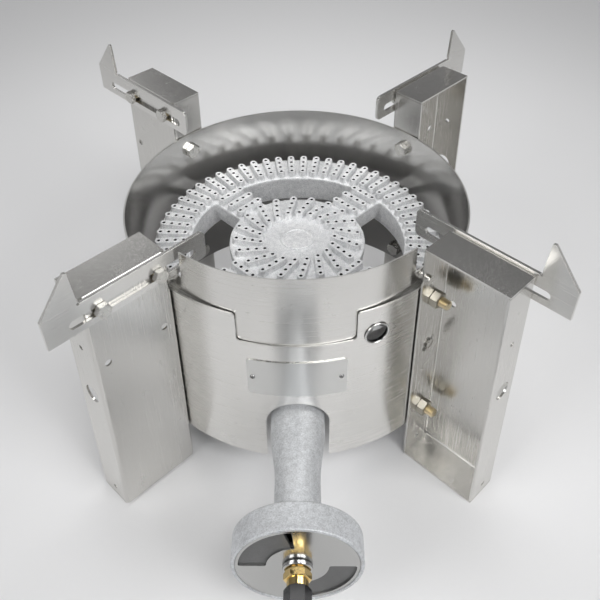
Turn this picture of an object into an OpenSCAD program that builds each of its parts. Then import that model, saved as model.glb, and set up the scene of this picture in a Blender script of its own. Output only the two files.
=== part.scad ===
// Floor-standing gas burner: a round wind ring on four folded sheet legs, with a cast
// burner head, its venturi and air shutter, and four pot brackets that slide in slots.
// Millimetres, +Z up. The origin is on the floor on the axis of the wind ring, and the
// venturi runs towards -Y, which is the front.

/* [Wind ring] */
// Outer radius of the wind ring
ring_r = 169; // [160:1:180]
// Sheet thickness of the wind ring
ring_t = 1.5; // [1:0.1:2.5]
// Height of the lower edge of the ring above the floor
ring_foot = 45.5; // [40:0.5:52]
// Height of the ring from edge to edge
ring_h = 181.5; // [176:0.5:190]
// Width of the notch in the front upper edge
notch_w = 103; // [80:1:110]
// Depth of the notch in the front upper edge
notch_h = 31; // [20:1:36]
// Radius of the corners of the notch
notch_corner = 4; // [2:0.5:6]
// Radius of the sight hole
sight_r = 10.5; // [8:0.5:12]
// Turn of the sight hole from the front
sight_turn = 24; // [23:0.5:27]
// Distance of the sight hole below the upper edge
sight_drop = 29.5; // [24:0.5:34]
// Radius of the rolled bead of the sight hole
sight_lip = 0.8; // [0.6:0.1:1.6]
// Diameter of the small hole beside the sight hole
pin_hole_d = 3; // [2:0.5:5]

/* [Front shield] */
// Height of the front shield above the upper edge of the ring
shield_rise = 43.5; // [36:0.5:46]
// Depth by which the tongue of the shield reaches down inside the ring
shield_lap = 45; // [40:0.5:56]
// Sheet thickness of the shield
shield_t = 1.2; // [0.8:0.1:1.5]
// Forward shift of the centre of the shield, which holds its ends off the ring
shield_ease = 15; // [8:0.5:18]
// Half of the angle that the top of the shield covers
shield_half_angle = 37.2; // [30:0.1:37.5]
// Half of the angle that the ears of the shield cover
ear_half_angle = 45.5; // [44.5:0.1:48]
// Half of the angle that the tongue of the shield covers
tongue_half_angle = 18.9; // [18.4:0.1:19.2]
// Turn of the shield in the holes of its screws
shield_turn = 1; // [0:0.1:1]
// Height of the ears above the upper edge of the ring
ear_rise = 15.7; // [14.5:0.1:16.5]
// Depth of the ears below the upper edge of the ring
ear_lap = 9; // [6:0.5:10]
// Diameter of the screws of the shield
shield_screw_d = 4.8; // [4:0.1:5]

/* [Name plate] */
// Width of the bare plate along the ring
plate_w = 88; // [70:1:94]
// Height of the plate
plate_h = 43; // [36:1:46]
// Thickness of the plate
plate_t = 0.8; // [0.5:0.1:1.2]
// Distance of the top of the plate below the upper edge of the ring
plate_drop = 50.5; // [48:0.5:54]
// Radius of the corners of the plate
plate_corner = 3; // [2:0.5:5]
// Radius of the heads of the plate screws
plate_screw_r = 2.4; // [2:0.1:3]

/* [Legs] */
// Height of a leg
leg_h = 272; // [262:1:290]
// Depth of a leg from its inner to its outer flange
leg_depth = 82.5; // [78:0.5:95]
// Width of the flanges
leg_w = 37; // [34:0.5:42]
// Sheet thickness of the legs
leg_t = 1.9; // [1.5:0.1:2.5]
// Outer radius of the bends
leg_bend = 3.4; // [3:0.1:5]
// Gap at the folded corners
leg_seam = 0.5; // [0.3:0.1:1]
// Distance of the lower leg bolt above the lower edge of the ring
low_bolt_in = 16; // [14:0.5:24]
// Distance of the upper leg bolt below the upper edge of the ring
high_bolt_in = 20; // [16:0.5:22]
// Diameter of the large holes in the flanges
access_d = 18; // [16:0.5:20]
// Diameter of the small holes in the flanges
small_hole_d = 5; // [4:0.5:7]
// Height of the small holes above the foot
foot_hole_z = 12.5; // [10:0.5:20]
// Diameter of the holes in the web
web_hole_d = 7; // [5:0.5:9]
// Height of the web holes
web_hole_z = 193.5; // [170:0.5:215]
// Distance of the web holes from the flanges
web_hole_in = 12; // [9:0.5:16]

/* [Pot brackets] */
// Height of the bar of a bracket
bar_h = 28.3; // [24:0.1:32]
// Thickness of a bracket
bar_t = 3; // [2:0.5:4]
// Height of the bar above the top of the leg
bar_rise = 1.8; // [1:0.1:4]
// Reach of the bar inwards past the inner flange
bar_reach = 32.5; // [26:0.5:36]
// Length of the bar from its inner end to the hook
bar_len = 123.8; // [118:0.1:140]
// Radius of the inner corners of the bar
bar_corner = 5; // [2:0.5:8]
// Width of the hook at its foot
hook_w = 32.7; // [26:0.1:40]
// Height of the tip of the hook above the bar
hook_rise = 34; // [20:0.5:50]
// Outward lean of the inner edge of the hook
hook_lean = 3.4; // [1:0.1:6]
// Width of the blunt tip of the hook
hook_tip_w = 2.6; // [2:0.1:5]
// Length of the slot
slot_len = 124; // [116:1:130]
// Width of the slot
slot_w = 8.7; // [8.5:0.1:9.5]
// Distance of the slot from the inner end of the bar
slot_in = 11; // [8:0.5:14]
// Distance of the middle of the slot below the top of the bar
slot_drop = 17.5; // [13:0.5:19]
// Distance between the two bolts of a bracket
bracket_bolt_pitch = 56; // [46:0.5:60]
// Distance of the inner bolt from the inner flange
bracket_bolt_in = 12; // [11:0.5:16]
// Outward setting of the front brackets
set_front = -5.5; // [-8:0.5:8]
// Outward setting of the back brackets
set_back = 5.5; // [-8:0.5:8]

/* [Burner head] */
// Clearance from the burner head to the inside of the ring
head_gap = 20.5; // [18:0.5:26]
// Width of the outer ring of the head
head_ring_w = 38; // [34:1:40]
// Height of the tops of the ribs above the floor
head_top = 180.3; // [176:0.1:186]
// Depth of the head with its ribs
head_depth = 38.3; // [34:0.1:42]
// Radius of the middle disc of the head
hub_r = 70; // [68:1:74]
// Width of the four arms at the top
arm_w = 37; // [36:1:42]
// Wall thickness of the casting
head_wall = 4; // [3.5:0.1:5]
// Slope of the cast walls over their height
head_draft = 3; // [1:0.5:4]
// Height of the ribs
rib_h = 6.5; // [4:0.1:8]
// Width of the ribs
rib_w = 8.2; // [6:0.1:8.4]
// Number of ribs on the outer ring
ring_ribs = 60; // [48:1:60]
// Number of swirled ribs on the hub
hub_ribs = 20; // [14:1:20]
// Number of ribs across each arm
arm_ribs = 3; // [1:1:3]
// Number of ports in each rib
rib_ports = 4; // [2:1:4]
// Distance between the ports of a rib
port_pitch = 8.5; // [7.5:0.1:8.6]
// Diameter of a port
port_d = 2.8; // [1.5:0.1:3.4]
// Radius of the circle that the swirled ribs point past
swirl_r = 18; // [14:0.5:20]
// Radius of the plain pad in the middle of the hub
pad_r = 17; // [10:0.5:20]
// Height of the plain pad
pad_h = 2; // [1:0.1:3]
// Width of the lugs that carry the head
lug_w = 18; // [14:0.5:22]
// Height of the lugs
lug_h = 12; // [10:0.5:14]

/* [Venturi] */
// Height of the axis of the venturi above the floor
venturi_z = 93; // [90:0.5:96]
// Distance of the front of the venturi from the axis of the ring
venturi_reach = 305; // [290:1:330]
// Radius of the tube where it passes the ring
tube_r = 24.8; // [23:0.1:26]
// Radius of the waist of the tube
waist_r = 19.8; // [18.5:0.1:21]
// Wall thickness of the tube
tube_wall = 4; // [3:0.1:5]
// Gap round the tube in the arch of the ring
arch_gap = 4.4; // [3:0.1:6]
// Outer radius of the air cup
cup_r = 53; // [50:0.5:56]
// Depth of the air cup
cup_depth = 25; // [18:0.5:28]
// Wall thickness of the air cup
cup_wall = 3.2; // [2.5:0.1:4]
// Thickness of the flange and of the web in the cup
web_t = 4; // [3:0.1:5]
// Angle of each air opening
air_angle = 84; // [70:1:86]
// Inner radius of the air openings
air_in = 25; // [22:0.5:28]
// Angle by which the shutter leaves the air openings open
air_open_angle = 12; // [0:1:40]
// Thickness of the flange under the hub
flange_t = 8; // [6:0.5:10]
// Thickness of the gasket under the hub
gasket_t = 1; // [0.5:0.1:2]
// Distance of the flange bolts from the axis of the ring
flange_bolt_x = 37; // [36:0.5:40]

/* [Shutter and gas inlet] */
// Thickness of the shutter plate
shutter_t = 1.6; // [1:0.1:2]
// Radius of the stem of the brass fitting
stem_r = 6.5; // [5.5:0.1:8]
// Outer radius of the round lock nut
lock_r = 12.2; // [11:0.1:14]
// Length of the lock nut
lock_len = 4; // [3:0.1:8]
// Width across the flats of the brass fitting
fitting_af = 19.5; // [18:0.1:22]
// Length of the hexagon of the brass fitting
fitting_len = 14; // [10:0.1:20]
// Width across the flats of the inlet coupling
inlet_af = 19; // [18:0.1:22]
// Length of the inlet coupling
inlet_len = 26; // [20:0.5:40]
// Radius of the threaded mouth of the inlet coupling
inlet_r = 6.6; // [5:0.1:7.5]
// Depth of the threaded mouth
inlet_depth = 15; // [10:0.5:18]
// Radius of the gas jet
jet_r = 0.8; // [0.5:0.1:1.5]

/* [Fasteners] */
// Diameter of the leg bolts
leg_bolt_d = 9.5; // [8:0.1:10]
// Width across the flats of the leg bolts and their nuts
leg_bolt_af = 14.3; // [13:0.1:16]
// Diameter of the bracket and flange bolts
small_bolt_d = 7.9; // [6:0.1:8]
// Width across the flats of the bracket and flange bolts
small_bolt_af = 12.7; // [12:0.1:13.5]
// Length of thread that shows past the nuts
bolt_spare = 9; // [4:0.5:12]
// Diameter of the screws that carry the burner head
head_screw_d = 5; // [4:0.1:6]

/* [Hidden] */
$fn = 96;

// Overrun of every cut, so that no skin is left on a face
over = 1;
// Gap between the ring and the flanges of the legs
leg_clear = 0.3;
// Gap on each face of a sliding bracket
slide_gap = 0.2;
// Gap between pieces that turn past each other
turn_gap = 0.3;
// Running clearance of the shutter on the stem
run_fit = 0.06;
// Clearance of the bolts in their holes, on the diameter
hole_fit = 0.8;
// Gap that keeps the middle of the shield just clear of the ring
nest_gap = 0.1;
// Distance that ribs and bosses sink into the wall that carries them
sink = 1;
// Cast metal beyond the outermost port of a rib
rib_end = 4.2;
// Distance of the outermost ports from the outer edge of the head
port_edge = 6;
// Radius of the outer ports of the hub
hub_port_r = 62;
// Turn of the outer hub ports from the right
hub_port_turn = 3.5;
// Distance between the ribs of an arm and between its ports
arm_rib_pitch = 14.6;
arm_port_pitch = 8.4;
// Angle between a leg and the front, and from leg to leg
leg_front_angle = 45;
leg_turn = 90;
FRONT = -90;
LEFT_FRONT = FRONT - leg_front_angle;
RIGHT_FRONT = FRONT + leg_front_angle;
RIGHT_BACK = RIGHT_FRONT + leg_turn;
LEFT_BACK = LEFT_FRONT - leg_turn;
LEGS = [LEFT_FRONT, RIGHT_FRONT, RIGHT_BACK, LEFT_BACK];

ring_top = ring_foot + ring_h;
ring_in = ring_r - ring_t;
leg_x = ring_r + leg_clear;
low_bolt_z = ring_foot + low_bolt_in;
high_bolt_z = ring_top - high_bolt_in;
shield_foot = ring_top - shield_lap;
shield_top = ring_top + shield_rise;
shield_r = ring_in - nest_gap - shield_ease;
shield_screw_z = ring_top + ear_rise / 2 + sink;
shield_screw_side = leg_w / 2 - 1.5 * shield_screw_d;
plate_top = ring_top - plate_drop;
plate_in = ring_r + nest_gap;
plate_screw_turn = (plate_w / 2 - 2 * plate_screw_r) / ring_r * 180 / PI;

leg_bolt_head = leg_bolt_d * 0.64;
leg_nut_h = leg_bolt_d * 0.86;
small_bolt_head = small_bolt_d * 0.66;
small_nut_h = small_bolt_d * 0.85;

bar_top = leg_h + bar_rise;
bar_y = leg_w / 2 + slide_gap;
slot_z = bar_top - slot_drop;
bracket_bolt_x = [bracket_bolt_in, bracket_bolt_in + bracket_bolt_pitch];

head_foot = head_top - head_depth;
deck_z = head_top - rib_h;
head_r = ring_in - head_gap;
head_in = head_r - head_ring_w;
port_r = head_r - port_edge;
rib_len = (rib_ports - 1) * port_pitch + 2 * rib_end;
hub_port_x = sqrt(hub_port_r * hub_port_r - swirl_r * swirl_r);
lug_z = head_foot + lug_h / 2 + sink;

neck_z = head_foot - gasket_t - flange_t;
elbow_r = neck_z - venturi_z;
bore_r = tube_r - tube_wall;
neck_bore_r = waist_r;
cup_back = venturi_reach - cup_depth;
plate_seat = venturi_reach - shutter_t - 2 * turn_gap - turn_gap;
shutter_r = cup_r - cup_wall - turn_gap;
air_out = shutter_r - air_in / 10;
air_turn = 137;
lock_seat = plate_seat + turn_gap + shutter_t + turn_gap;
fitting_seat = lock_seat + lock_len;
inlet_seat = fitting_seat + fitting_len;
stem_foot = plate_seat - 3 * web_t;

// Across the corners of a hexagon with the given width across its flats
function corners(af) = af / cos(30);
// Distance from the ring's axis to a sheet of radius r whose centre is shifted forwards
function shifted(r, a) =
    shield_ease * cos(a) + sqrt(r * r - pow(shield_ease * sin(a), 2));
// Smooth step from 0 to 1
function ease(t) = t * t * (3 - 2 * t);

// Places its children in the frame of a leg: X runs outwards from the inner flange,
// Y towards the web, and Z up
module in_leg(angle) {
    rotate([0, 0, angle]) translate([leg_x, 0, 0]) children();
}

// Places its children with Z along the axis of the venturi, towards the front
module on_axis() {
    translate([0, 0, venturi_z]) rotate([90, 0, 0]) children();
}

// Rectangle with its two upper corners rounded
module round_top(w, h, r) {
    square([w, h - r]);
    translate([r, 0]) square([w - 2 * r, h]);
    for (x = [r, w - r]) translate([x, h - r]) circle(r);
}

// Rectangle with four round corners, centred
module round_rect(w, h, r) {
    square([w - 2 * r, h], center = true);
    square([w, h - 2 * r], center = true);
    for (x = [-1, 1], y = [-1, 1])
        translate([x * (w / 2 - r), y * (h / 2 - r)]) circle(r);
}

// Slot from end to end, centred
module slot(len, w) {
    square([len - w, w], center = true);
    for (x = [-1, 1]) translate([x * (len - w) / 2, 0]) circle(d = w);
}

// Section of a folded channel, w long and h deep, open at the bottom
module channel(w, h) {
    difference() {
        round_top(w, h, leg_bend);
        translate([leg_t, -over])
            round_top(w - 2 * leg_t, h - leg_t + over, leg_bend - leg_t);
    }
}

// Hexagonal prism with its upper corners turned off
module hexagon(af, h) {
    turned = (corners(af) - af) / 2;
    intersection() {
        cylinder(d = corners(af), h = h, $fn = 6);
        rotate_extrude()
            polygon([[0, 0], [corners(af) / 2, 0], [corners(af) / 2, h - turned / 2],
                [af / 2 - turned / 4, h], [0, h]]);
    }
}

// Hexagon bolt whose head stands on z = 0 and whose shank runs to z = -len
module bolt(d, af, head, len) {
    hexagon(af, head);
    translate([0, 0, -len]) cylinder(d = d, h = len + head / 2);
}

// Nut on a shank of diameter d, standing on z = 0
module nut(d, af, h) {
    difference() {
        hexagon(af, h);
        translate([0, 0, -over]) cylinder(d = d, h = h + 2 * over);
    }
}

// Sector of a ring between two radii, a degrees wide and centred on the X axis
module sector(r1, r2, a) {
    far = 2 * r2;
    intersection() {
        difference() {
            circle(r2);
            circle(r1);
        }
        polygon([[0, 0], [far * cos(a / 2), -far * sin(a / 2)], [far, 0],
            [far * cos(a / 2), far * sin(a / 2)]]);
    }
}

// The same sector with its corners rounded to radius c
module kidney(r1, r2, a, c) {
    turn_in = asin(c / (r1 + c));
    turn_out = asin(c / (r2 - c));
    sector(r1 + c, r2 - c, a);
    sector(r1, r1 + 2 * c, a - 2 * turn_in);
    sector(r2 - 2 * c, r2, a - 2 * turn_out);
    for (s = [-1, 1]) {
        rotate(s * (a / 2 - turn_in)) translate([r1 + c, 0]) circle(c);
        rotate(s * (a / 2 - turn_out)) translate([r2 - c, 0]) circle(c);
    }
}

// The two air openings, turned by an angle
module air_openings(turn) {
    for (half = [0, 180]) rotate(turn + half) kidney(air_in, air_out, air_angle, web_t / 2);
}

// Cuts a hole outwards through the ring at an angle and a height
module ring_hole(angle, z, d) {
    rotate([0, 0, angle]) translate([ring_in / 2, 0, z]) rotate([0, 90, 0])
        cylinder(d = d, h = ring_r);
}

// Round wind ring with its notch, arch and holes
module wind_ring() {
    color("#b9b7b1") difference() {
        translate([0, 0, ring_foot]) difference() {
            cylinder(r = ring_r, h = ring_h, $fn = 180);
            translate([0, 0, -over]) cylinder(r = ring_in, h = ring_h + 2 * over, $fn = 180);
        }
        translate([0, -ring_in / 2, ring_top]) rotate([90, 0, 0]) linear_extrude(ring_r) {
            round_rect(notch_w, 2 * notch_h, notch_corner);
        }
        translate([0, -ring_in / 2, venturi_z]) rotate([90, 0, 0]) linear_extrude(ring_r) {
            circle(tube_r + arch_gap);
            translate([-tube_r - arch_gap, ring_foot - venturi_z - over])
                square([2 * (tube_r + arch_gap), venturi_z - ring_foot + over]);
        }
        ring_hole(FRONT + sight_turn, ring_top - sight_drop, 2 * sight_r);
        ring_hole(FRONT + sight_turn + 6.2, ring_top - sight_drop, pin_hole_d);
        for (s = [-1, 1])
            ring_hole(FRONT + s * plate_screw_turn, plate_top - plate_h / 2, plate_screw_r);
        for (a = LEGS) {
            ring_hole(a, low_bolt_z, leg_bolt_d + hole_fit);
            ring_hole(a, high_bolt_z, leg_bolt_d + hole_fit);
            ring_hole(a, lug_z, head_screw_d + hole_fit);
        }
    }
}

// Cuts away what lies further from the front than an angle, between two heights
module beyond(a, z1, z2) {
    far = 2 * ring_r;
    translate([0, 0, z1]) rotate([0, 0, shield_turn]) linear_extrude(z2 - z1)
        polygon([[0, 0], [far * sin(a), -far * cos(a)], [2 * far, -far * cos(a)], [2 * far, far],
            [-2 * far, far], [-2 * far, -far * cos(a)], [-far * sin(a), -far * cos(a)]]);
}

// Raised shield inside the front of the ring: a tongue behind the notch, and two ears
module front_shield() {
    color("#bdbbb5") difference() {
        translate([0, -shield_ease, shield_foot]) difference() {
            cylinder(r = shield_r, h = shield_top - shield_foot, $fn = 180);
            translate([0, 0, -over])
                cylinder(r = shield_r - shield_t, h = shield_top - shield_foot + 2 * over, $fn = 180);
        }
        beyond(ear_half_angle, shield_foot - over, shield_top + over);
        beyond(shield_half_angle, ring_top + ear_rise, shield_top + over);
        beyond(tongue_half_angle, shield_foot - over, ring_top - ear_lap);
        at_shield_screws() translate([0, 0, -2 * shield_ease])
            cylinder(d = shield_screw_d + hole_fit, h = 2 * shield_ease);
    }
}

// Frames of the two shield screws: Z runs outwards and is zero on the inner flange
module at_shield_screws() {
    for (s = [-1, 1]) in_leg(FRONT + s * leg_front_angle)
        translate([0, -s * shield_screw_side, shield_screw_z]) rotate([0, 90, 0]) children();
}

// Bare plate that follows the front of the ring
module name_plate() {
    color("#c9c8c4") difference() {
        intersection() {
            translate([0, 0, ring_foot]) difference() {
                cylinder(r = plate_in + plate_t, h = ring_h, $fn = 180);
                translate([0, 0, -over]) cylinder(r = plate_in, h = ring_h + 2 * over, $fn = 180);
            }
            translate([0, -ring_in / 2, plate_top - plate_h / 2]) rotate([90, 0, 0])
                linear_extrude(ring_r) round_rect(plate_w, plate_h, plate_corner);
        }
        for (s = [-1, 1])
            ring_hole(FRONT + s * plate_screw_turn, plate_top - plate_h / 2, plate_screw_r);
    }
}

// Two dome-headed screws of the plate
module plate_screws() {
    head_seat = plate_in + plate_t;
    color("#8f8d88") for (s = [-1, 1])
        rotate([0, 0, FRONT + s * plate_screw_turn])
            translate([head_seat, 0, plate_top - plate_h / 2]) rotate([0, 90, 0]) {
                intersection() {
                    cylinder(r = plate_screw_r, h = plate_screw_r);
                    translate([0, 0, -plate_screw_r]) sphere(plate_screw_r * sqrt(2));
                }
                translate([0, 0, -plate_t - ring_t]) cylinder(d = plate_screw_r, h = plate_t + ring_t);
            }
}

// Rolled eyelet that lines the sight hole: a short tube with a bead outside the ring
module sight_eyelet() {
    lip = sight_lip;
    tube_in = sight_r - lip / 2;
    color("#d2d1cd") rotate([0, 0, FRONT + sight_turn])
        translate([ring_r, 0, ring_top - sight_drop]) rotate([0, 90, 0]) {
            rotate_extrude() translate([tube_in + 1.1 * lip, lip]) circle(lip, $fn = 32);
            translate([0, 0, -ring_t - lip]) difference() {
                cylinder(r = sight_r, h = ring_t + 2 * lip);
                translate([0, 0, -over]) cylinder(r = tube_in, h = ring_t + 2 * lip + 2 * over);
            }
        }
}

// Folded leg: a web with four flanges, open on the other side
module leg(angle) {
    flat = leg_w - leg_bend;
    color("#b4b2ac") in_leg(angle) difference() {
        union() {
            translate([0, -leg_w / 2, leg_t + leg_seam])
                linear_extrude(leg_h - 2 * leg_t - 2 * leg_seam) channel(leg_depth, leg_w);
            translate([leg_bend, -leg_w / 2, 0]) rotate([90, 0, 90])
                linear_extrude(leg_depth - 2 * leg_bend) rotate(-90) mirror([1, 0])
                    channel(leg_h, leg_w);
            for (z = [0, leg_h - leg_t])
                translate([0, -leg_w / 2, z]) cube([leg_depth, flat, leg_t]);
        }
        for (z = [low_bolt_z, high_bolt_z]) flange_hole(0, z, leg_bolt_d + hole_fit);
        flange_hole(0, lug_z, access_d);
        flange_hole(0, foot_hole_z, small_hole_d);
        flange_hole(leg_depth, high_bolt_z, small_hole_d);
        flange_hole(leg_depth, lug_z, access_d);
        flange_hole(leg_depth, foot_hole_z, small_hole_d);
        for (x = [web_hole_in, leg_depth - web_hole_in]) web_hole(x, web_hole_z, web_hole_d);
        for (x = bracket_bolt_x) web_hole(x, slot_z, small_bolt_d + hole_fit);
        if (is_front(angle))
            translate([0, (angle == LEFT_FRONT ? 1 : -1) * shield_screw_side, 0])
                flange_hole(0, shield_screw_z, shield_screw_d + hole_fit);
    }
}

// Cuts a hole along X through one flange of a leg
module flange_hole(x, z, d) {
    translate([x - 2 * leg_t, 0, z]) rotate([0, 90, 0]) cylinder(d = d, h = 4 * leg_t);
}

// Cuts a hole along Y through the web of a leg
module web_hole(x, z, d) {
    translate([x, leg_w / 2 + over, z]) rotate([90, 0, 0])
        cylinder(d = d, h = leg_t + 2 * over);
}

// Whether a leg is one of the two at the front
function is_front(angle) = angle == LEFT_FRONT || angle == RIGHT_FRONT;

// Outward setting of the bracket on a leg
function setting(angle) = is_front(angle) ? set_front : set_back;

// Sliding bracket: a slotted bar with a pointed hook at its outer end
module pot_bracket(angle) {
    foot = bar_top - bar_h;
    relief = hook_tip_w / 2;
    color("#c2c0bb") in_leg(angle)
        translate([setting(angle) - bar_reach, bar_y + bar_t, 0]) rotate([90, 0, 0])
            linear_extrude(bar_t) difference() {
                union() {
                    translate([0, bar_top]) rotate(-90) bar_end();
                    polygon([[bar_len - 2 * relief, foot], [bar_len + hook_w - relief, foot],
                        [bar_len + hook_w, bar_top + relief],
                        [bar_len + hook_lean + hook_tip_w, bar_top + hook_rise],
                        [bar_len + hook_lean, bar_top + hook_rise - relief / 2],
                        [bar_len, bar_top], [bar_len - 2 * relief, bar_top]]);
                }
                translate([bar_len, bar_top]) circle(relief);
                translate([slot_in + slot_len / 2, slot_z]) slot(slot_len, slot_w);
            }
}

// Bar of a bracket with its inner corners rounded, drawn down from its top edge
module bar_end() {
    translate([0, bar_len]) mirror([0, 1]) round_top(bar_h, bar_len, bar_corner);
}

// Bolts that hold the legs, with their heads inside the ring
module leg_bolts() {
    seat = ring_in - pow(corners(leg_bolt_af) / 2, 2) / (2 * ring_in) - leg_x;
    reach = leg_t + leg_nut_h + bolt_spare;
    color("#c8c6c0") for (a = LEGS, z = [low_bolt_z, high_bolt_z])
        in_leg(a) translate([seat, 0, z]) rotate([0, -90, 0])
            bolt(leg_bolt_d, leg_bolt_af, leg_bolt_head, reach - seat);
}

// Nuts of the leg bolts, inside the legs
module leg_nuts() {
    color("#cfc7b4") for (a = LEGS, z = [low_bolt_z, high_bolt_z])
        in_leg(a) translate([leg_t, 0, z]) rotate([0, 90, 0])
            nut(leg_bolt_d, leg_bolt_af, leg_nut_h);
}

// Bolts that clamp the brackets, with their heads outside the bars
module bracket_bolts() {
    seat = bar_y + bar_t + slide_gap;
    grip = seat - leg_w / 2 + leg_t + small_nut_h + small_bolt_d / 4;
    color("#c8c6c0") for (a = LEGS, x = bracket_bolt_x)
        in_leg(a) translate([x, seat, slot_z]) rotate([-90, 0, 0])
            bolt(small_bolt_d, small_bolt_af, small_bolt_head, grip);
}

// Nuts of the bracket bolts, inside the legs
module bracket_nuts() {
    color("#cfc7b4") for (a = LEGS, x = bracket_bolt_x)
        in_leg(a) translate([x, leg_w / 2 - leg_t, slot_z]) rotate([90, 0, 0])
            nut(small_bolt_d, small_bolt_af, small_nut_h);
}

// Distance from the flange back to a shield of radius r at the place of its screws
function shield_gap(r) =
    let (side = leg_front_angle - asin(shield_screw_side / leg_x))
    leg_x - shifted(r, side) * cos(leg_front_angle - side);

// Short bushes between the ears of the shield and the front legs
module shield_spacers() {
    len = shield_gap(shield_r);
    color("#b5b3ae") at_shield_screws() translate([0, 0, nest_gap - len]) difference() {
        cylinder(d = 1.6 * shield_screw_d, h = len - nest_gap);
        translate([0, 0, -over]) cylinder(d = shield_screw_d, h = len + 2 * over);
    }
}

// Screws of the shield, with their heads in the legs and their nuts inside the shield
module shield_screws() {
    head = 0.6 * shield_screw_d;
    end = shield_gap(shield_r - shield_t) + nest_gap;
    color("#c8c6c0") at_shield_screws() {
        translate([0, 0, leg_t]) cylinder(d = 1.6 * shield_screw_d, h = head);
        translate([0, 0, -end - 1.7 * head]) cylinder(d = shield_screw_d, h = end + 2 * head + leg_t);
        translate([0, 0, -end]) rotate([180, 0, 0]) hexagon(1.6 * shield_screw_d, head);
    }
}

// Round-ended bar of a rib from x = 0 outwards, or its row of ports
module rib(len, pitch, ports) {
    if (ports)
        for (i = [0 : rib_ports - 1])
            translate([len / 2 + (i - (rib_ports - 1) / 2) * pitch, 0]) circle(d = port_d, $fn = 20);
    else
        translate([len / 2, 0]) slot(len, rib_w);
}

// All ribs of the head, or all their ports: radial ones on the ring, swirled ones on the
// hub, and straight ones across the arms
module ribs(ports) {
    arm_rib_len = (rib_ports - 1) * arm_port_pitch + 2 * rib_end;
    for (i = [0 : ring_ribs - 1]) rotate((i + 0.5) * 360 / ring_ribs)
        translate([port_r + rib_end - rib_len, 0]) rib(rib_len, port_pitch, ports);
    for (i = [0 : hub_ribs - 1])
        rotate(hub_port_turn - asin(swirl_r / hub_port_r) + i * 360 / hub_ribs)
            translate([hub_port_x + rib_end - rib_len, swirl_r]) rib(rib_len, port_pitch, ports);
    for (a = LEGS, i = [0 : arm_ribs - 1]) rotate(a)
        translate([head_in - rib_w / 2 - (i + 0.2) * arm_rib_pitch, -arm_rib_len / 2])
            rotate(90) rib(arm_rib_len, arm_port_pitch, ports);
}

// Section of a cast wall between two radii, drawn in by the draft at its foot
module cast_section(r1, r2, wall) {
    foot = head_foot + wall;
    top = deck_z - wall;
    polygon([[r1 + (r1 > 0 ? head_draft + wall : 0), foot], [r2 - head_draft - wall, foot],
        [r2 - wall, top], [r1 + (r1 > 0 ? wall : 0), top]]);
}

// Arms of the head along the four diagonals, or the ducts in them
module arms(wall) {
    w = arm_w / 2 - wall;
    for (a = LEGS) rotate([90, 0, a + 90]) translate([0, 0, hub_r - 2 * head_wall])
        linear_extrude(head_in + 4 * head_wall - hub_r)
            polygon([[-w, deck_z - wall], [w, deck_z - wall],
                [w - head_draft, head_foot + 2 * head_wall + wall],
                [-w + head_draft, head_foot + 2 * head_wall + wall]]);
}

// Cast burner head: a hollow ring, four arms and a hub, with ribs and ports on top
module burner_head() {
    lug_len = ring_in - head_r + head_ring_w / 2;
    boss_r = small_bolt_d;
    color("#aab0b6") difference() {
        union() {
            difference() {
                union() {
                    rotate_extrude($fn = 180) cast_section(head_in, head_r, 0);
                    rotate_extrude() cast_section(0, hub_r, 0);
                    arms(0);
                    intersection() {
                        for (a = LEGS) rotate([0, 0, a])
                            translate([ring_in - lug_len, -lug_w / 2, lug_z - lug_h / 2])
                                cube([lug_len + over, lug_w, lug_h]);
                        translate([0, 0, head_foot])
                            cylinder(r = ring_in - nest_gap, h = head_depth, $fn = 180);
                    }
                }
                rotate_extrude($fn = 180) cast_section(head_in, head_r, head_wall);
                rotate_extrude() cast_section(0, hub_r, head_wall);
                arms(head_wall);
                translate([0, 0, head_foot - over])
                    cylinder(r = neck_bore_r, h = head_wall + 2 * over);
            }
            for (s = [-1, 1]) translate([s * flange_bolt_x, 0, head_foot])
                cylinder(r = boss_r, h = 3 * head_wall);
            translate([0, 0, deck_z - sink]) linear_extrude(rib_h + sink) ribs(false);
            translate([0, 0, deck_z - sink]) cylinder(r = pad_r, h = pad_h + sink);
        }
        translate([0, 0, deck_z - head_wall - over])
            linear_extrude(head_wall + rib_h + 2 * over) ribs(true);
        for (s = [-1, 1]) translate([s * flange_bolt_x, 0, head_foot - over])
            cylinder(d = small_bolt_d, h = 2 * head_wall + over);
        for (a = LEGS) rotate([0, 0, a])
            translate([ring_in + over, 0, lug_z]) rotate([0, -90, 0])
                cylinder(d = head_screw_d, h = over + ring_in - head_r + head_wall);
    }
}

// Screws that hold the lugs of the head to the ring, reached through the legs
module head_screws() {
    head_t = head_screw_d * 0.7;
    color("#c8c6c0") for (a = LEGS) rotate([0, 0, a])
        translate([ring_r + nest_gap, 0, lug_z]) rotate([0, 90, 0]) {
            hexagon(1.6 * head_screw_d, head_t);
            translate([0, 0, -ring_r + head_r - sink])
                cylinder(d = head_screw_d, h = ring_r - head_r + sink + head_t / 2);
        }
}

// Outline of the flange between the venturi and the hub
module flange_outline() {
    ear = small_bolt_af / 2 + 2;
    difference() {
        union() {
            circle(tube_r + 2 * head_draft);
            slot(2 * (flange_bolt_x + ear), 2 * ear);
        }
        circle(neck_bore_r);
        for (s = [-1, 1]) translate([s * flange_bolt_x, 0]) circle(d = small_bolt_d + hole_fit);
    }
}

// Gasket under the hub
module flange_gasket() {
    color("#5c5a55") translate([0, 0, head_foot - gasket_t]) linear_extrude(gasket_t)
        flange_outline();
}

// Bolts that hold the venturi up to the hub
module flange_bolts() {
    len = flange_t + gasket_t + 2 * head_wall - sink;
    color("#c8c6c0") for (s = [-1, 1])
        translate([s * flange_bolt_x, 0, neck_z]) rotate([180, 0, 0])
            bolt(small_bolt_d, small_bolt_af, small_bolt_head, len);
}

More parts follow.
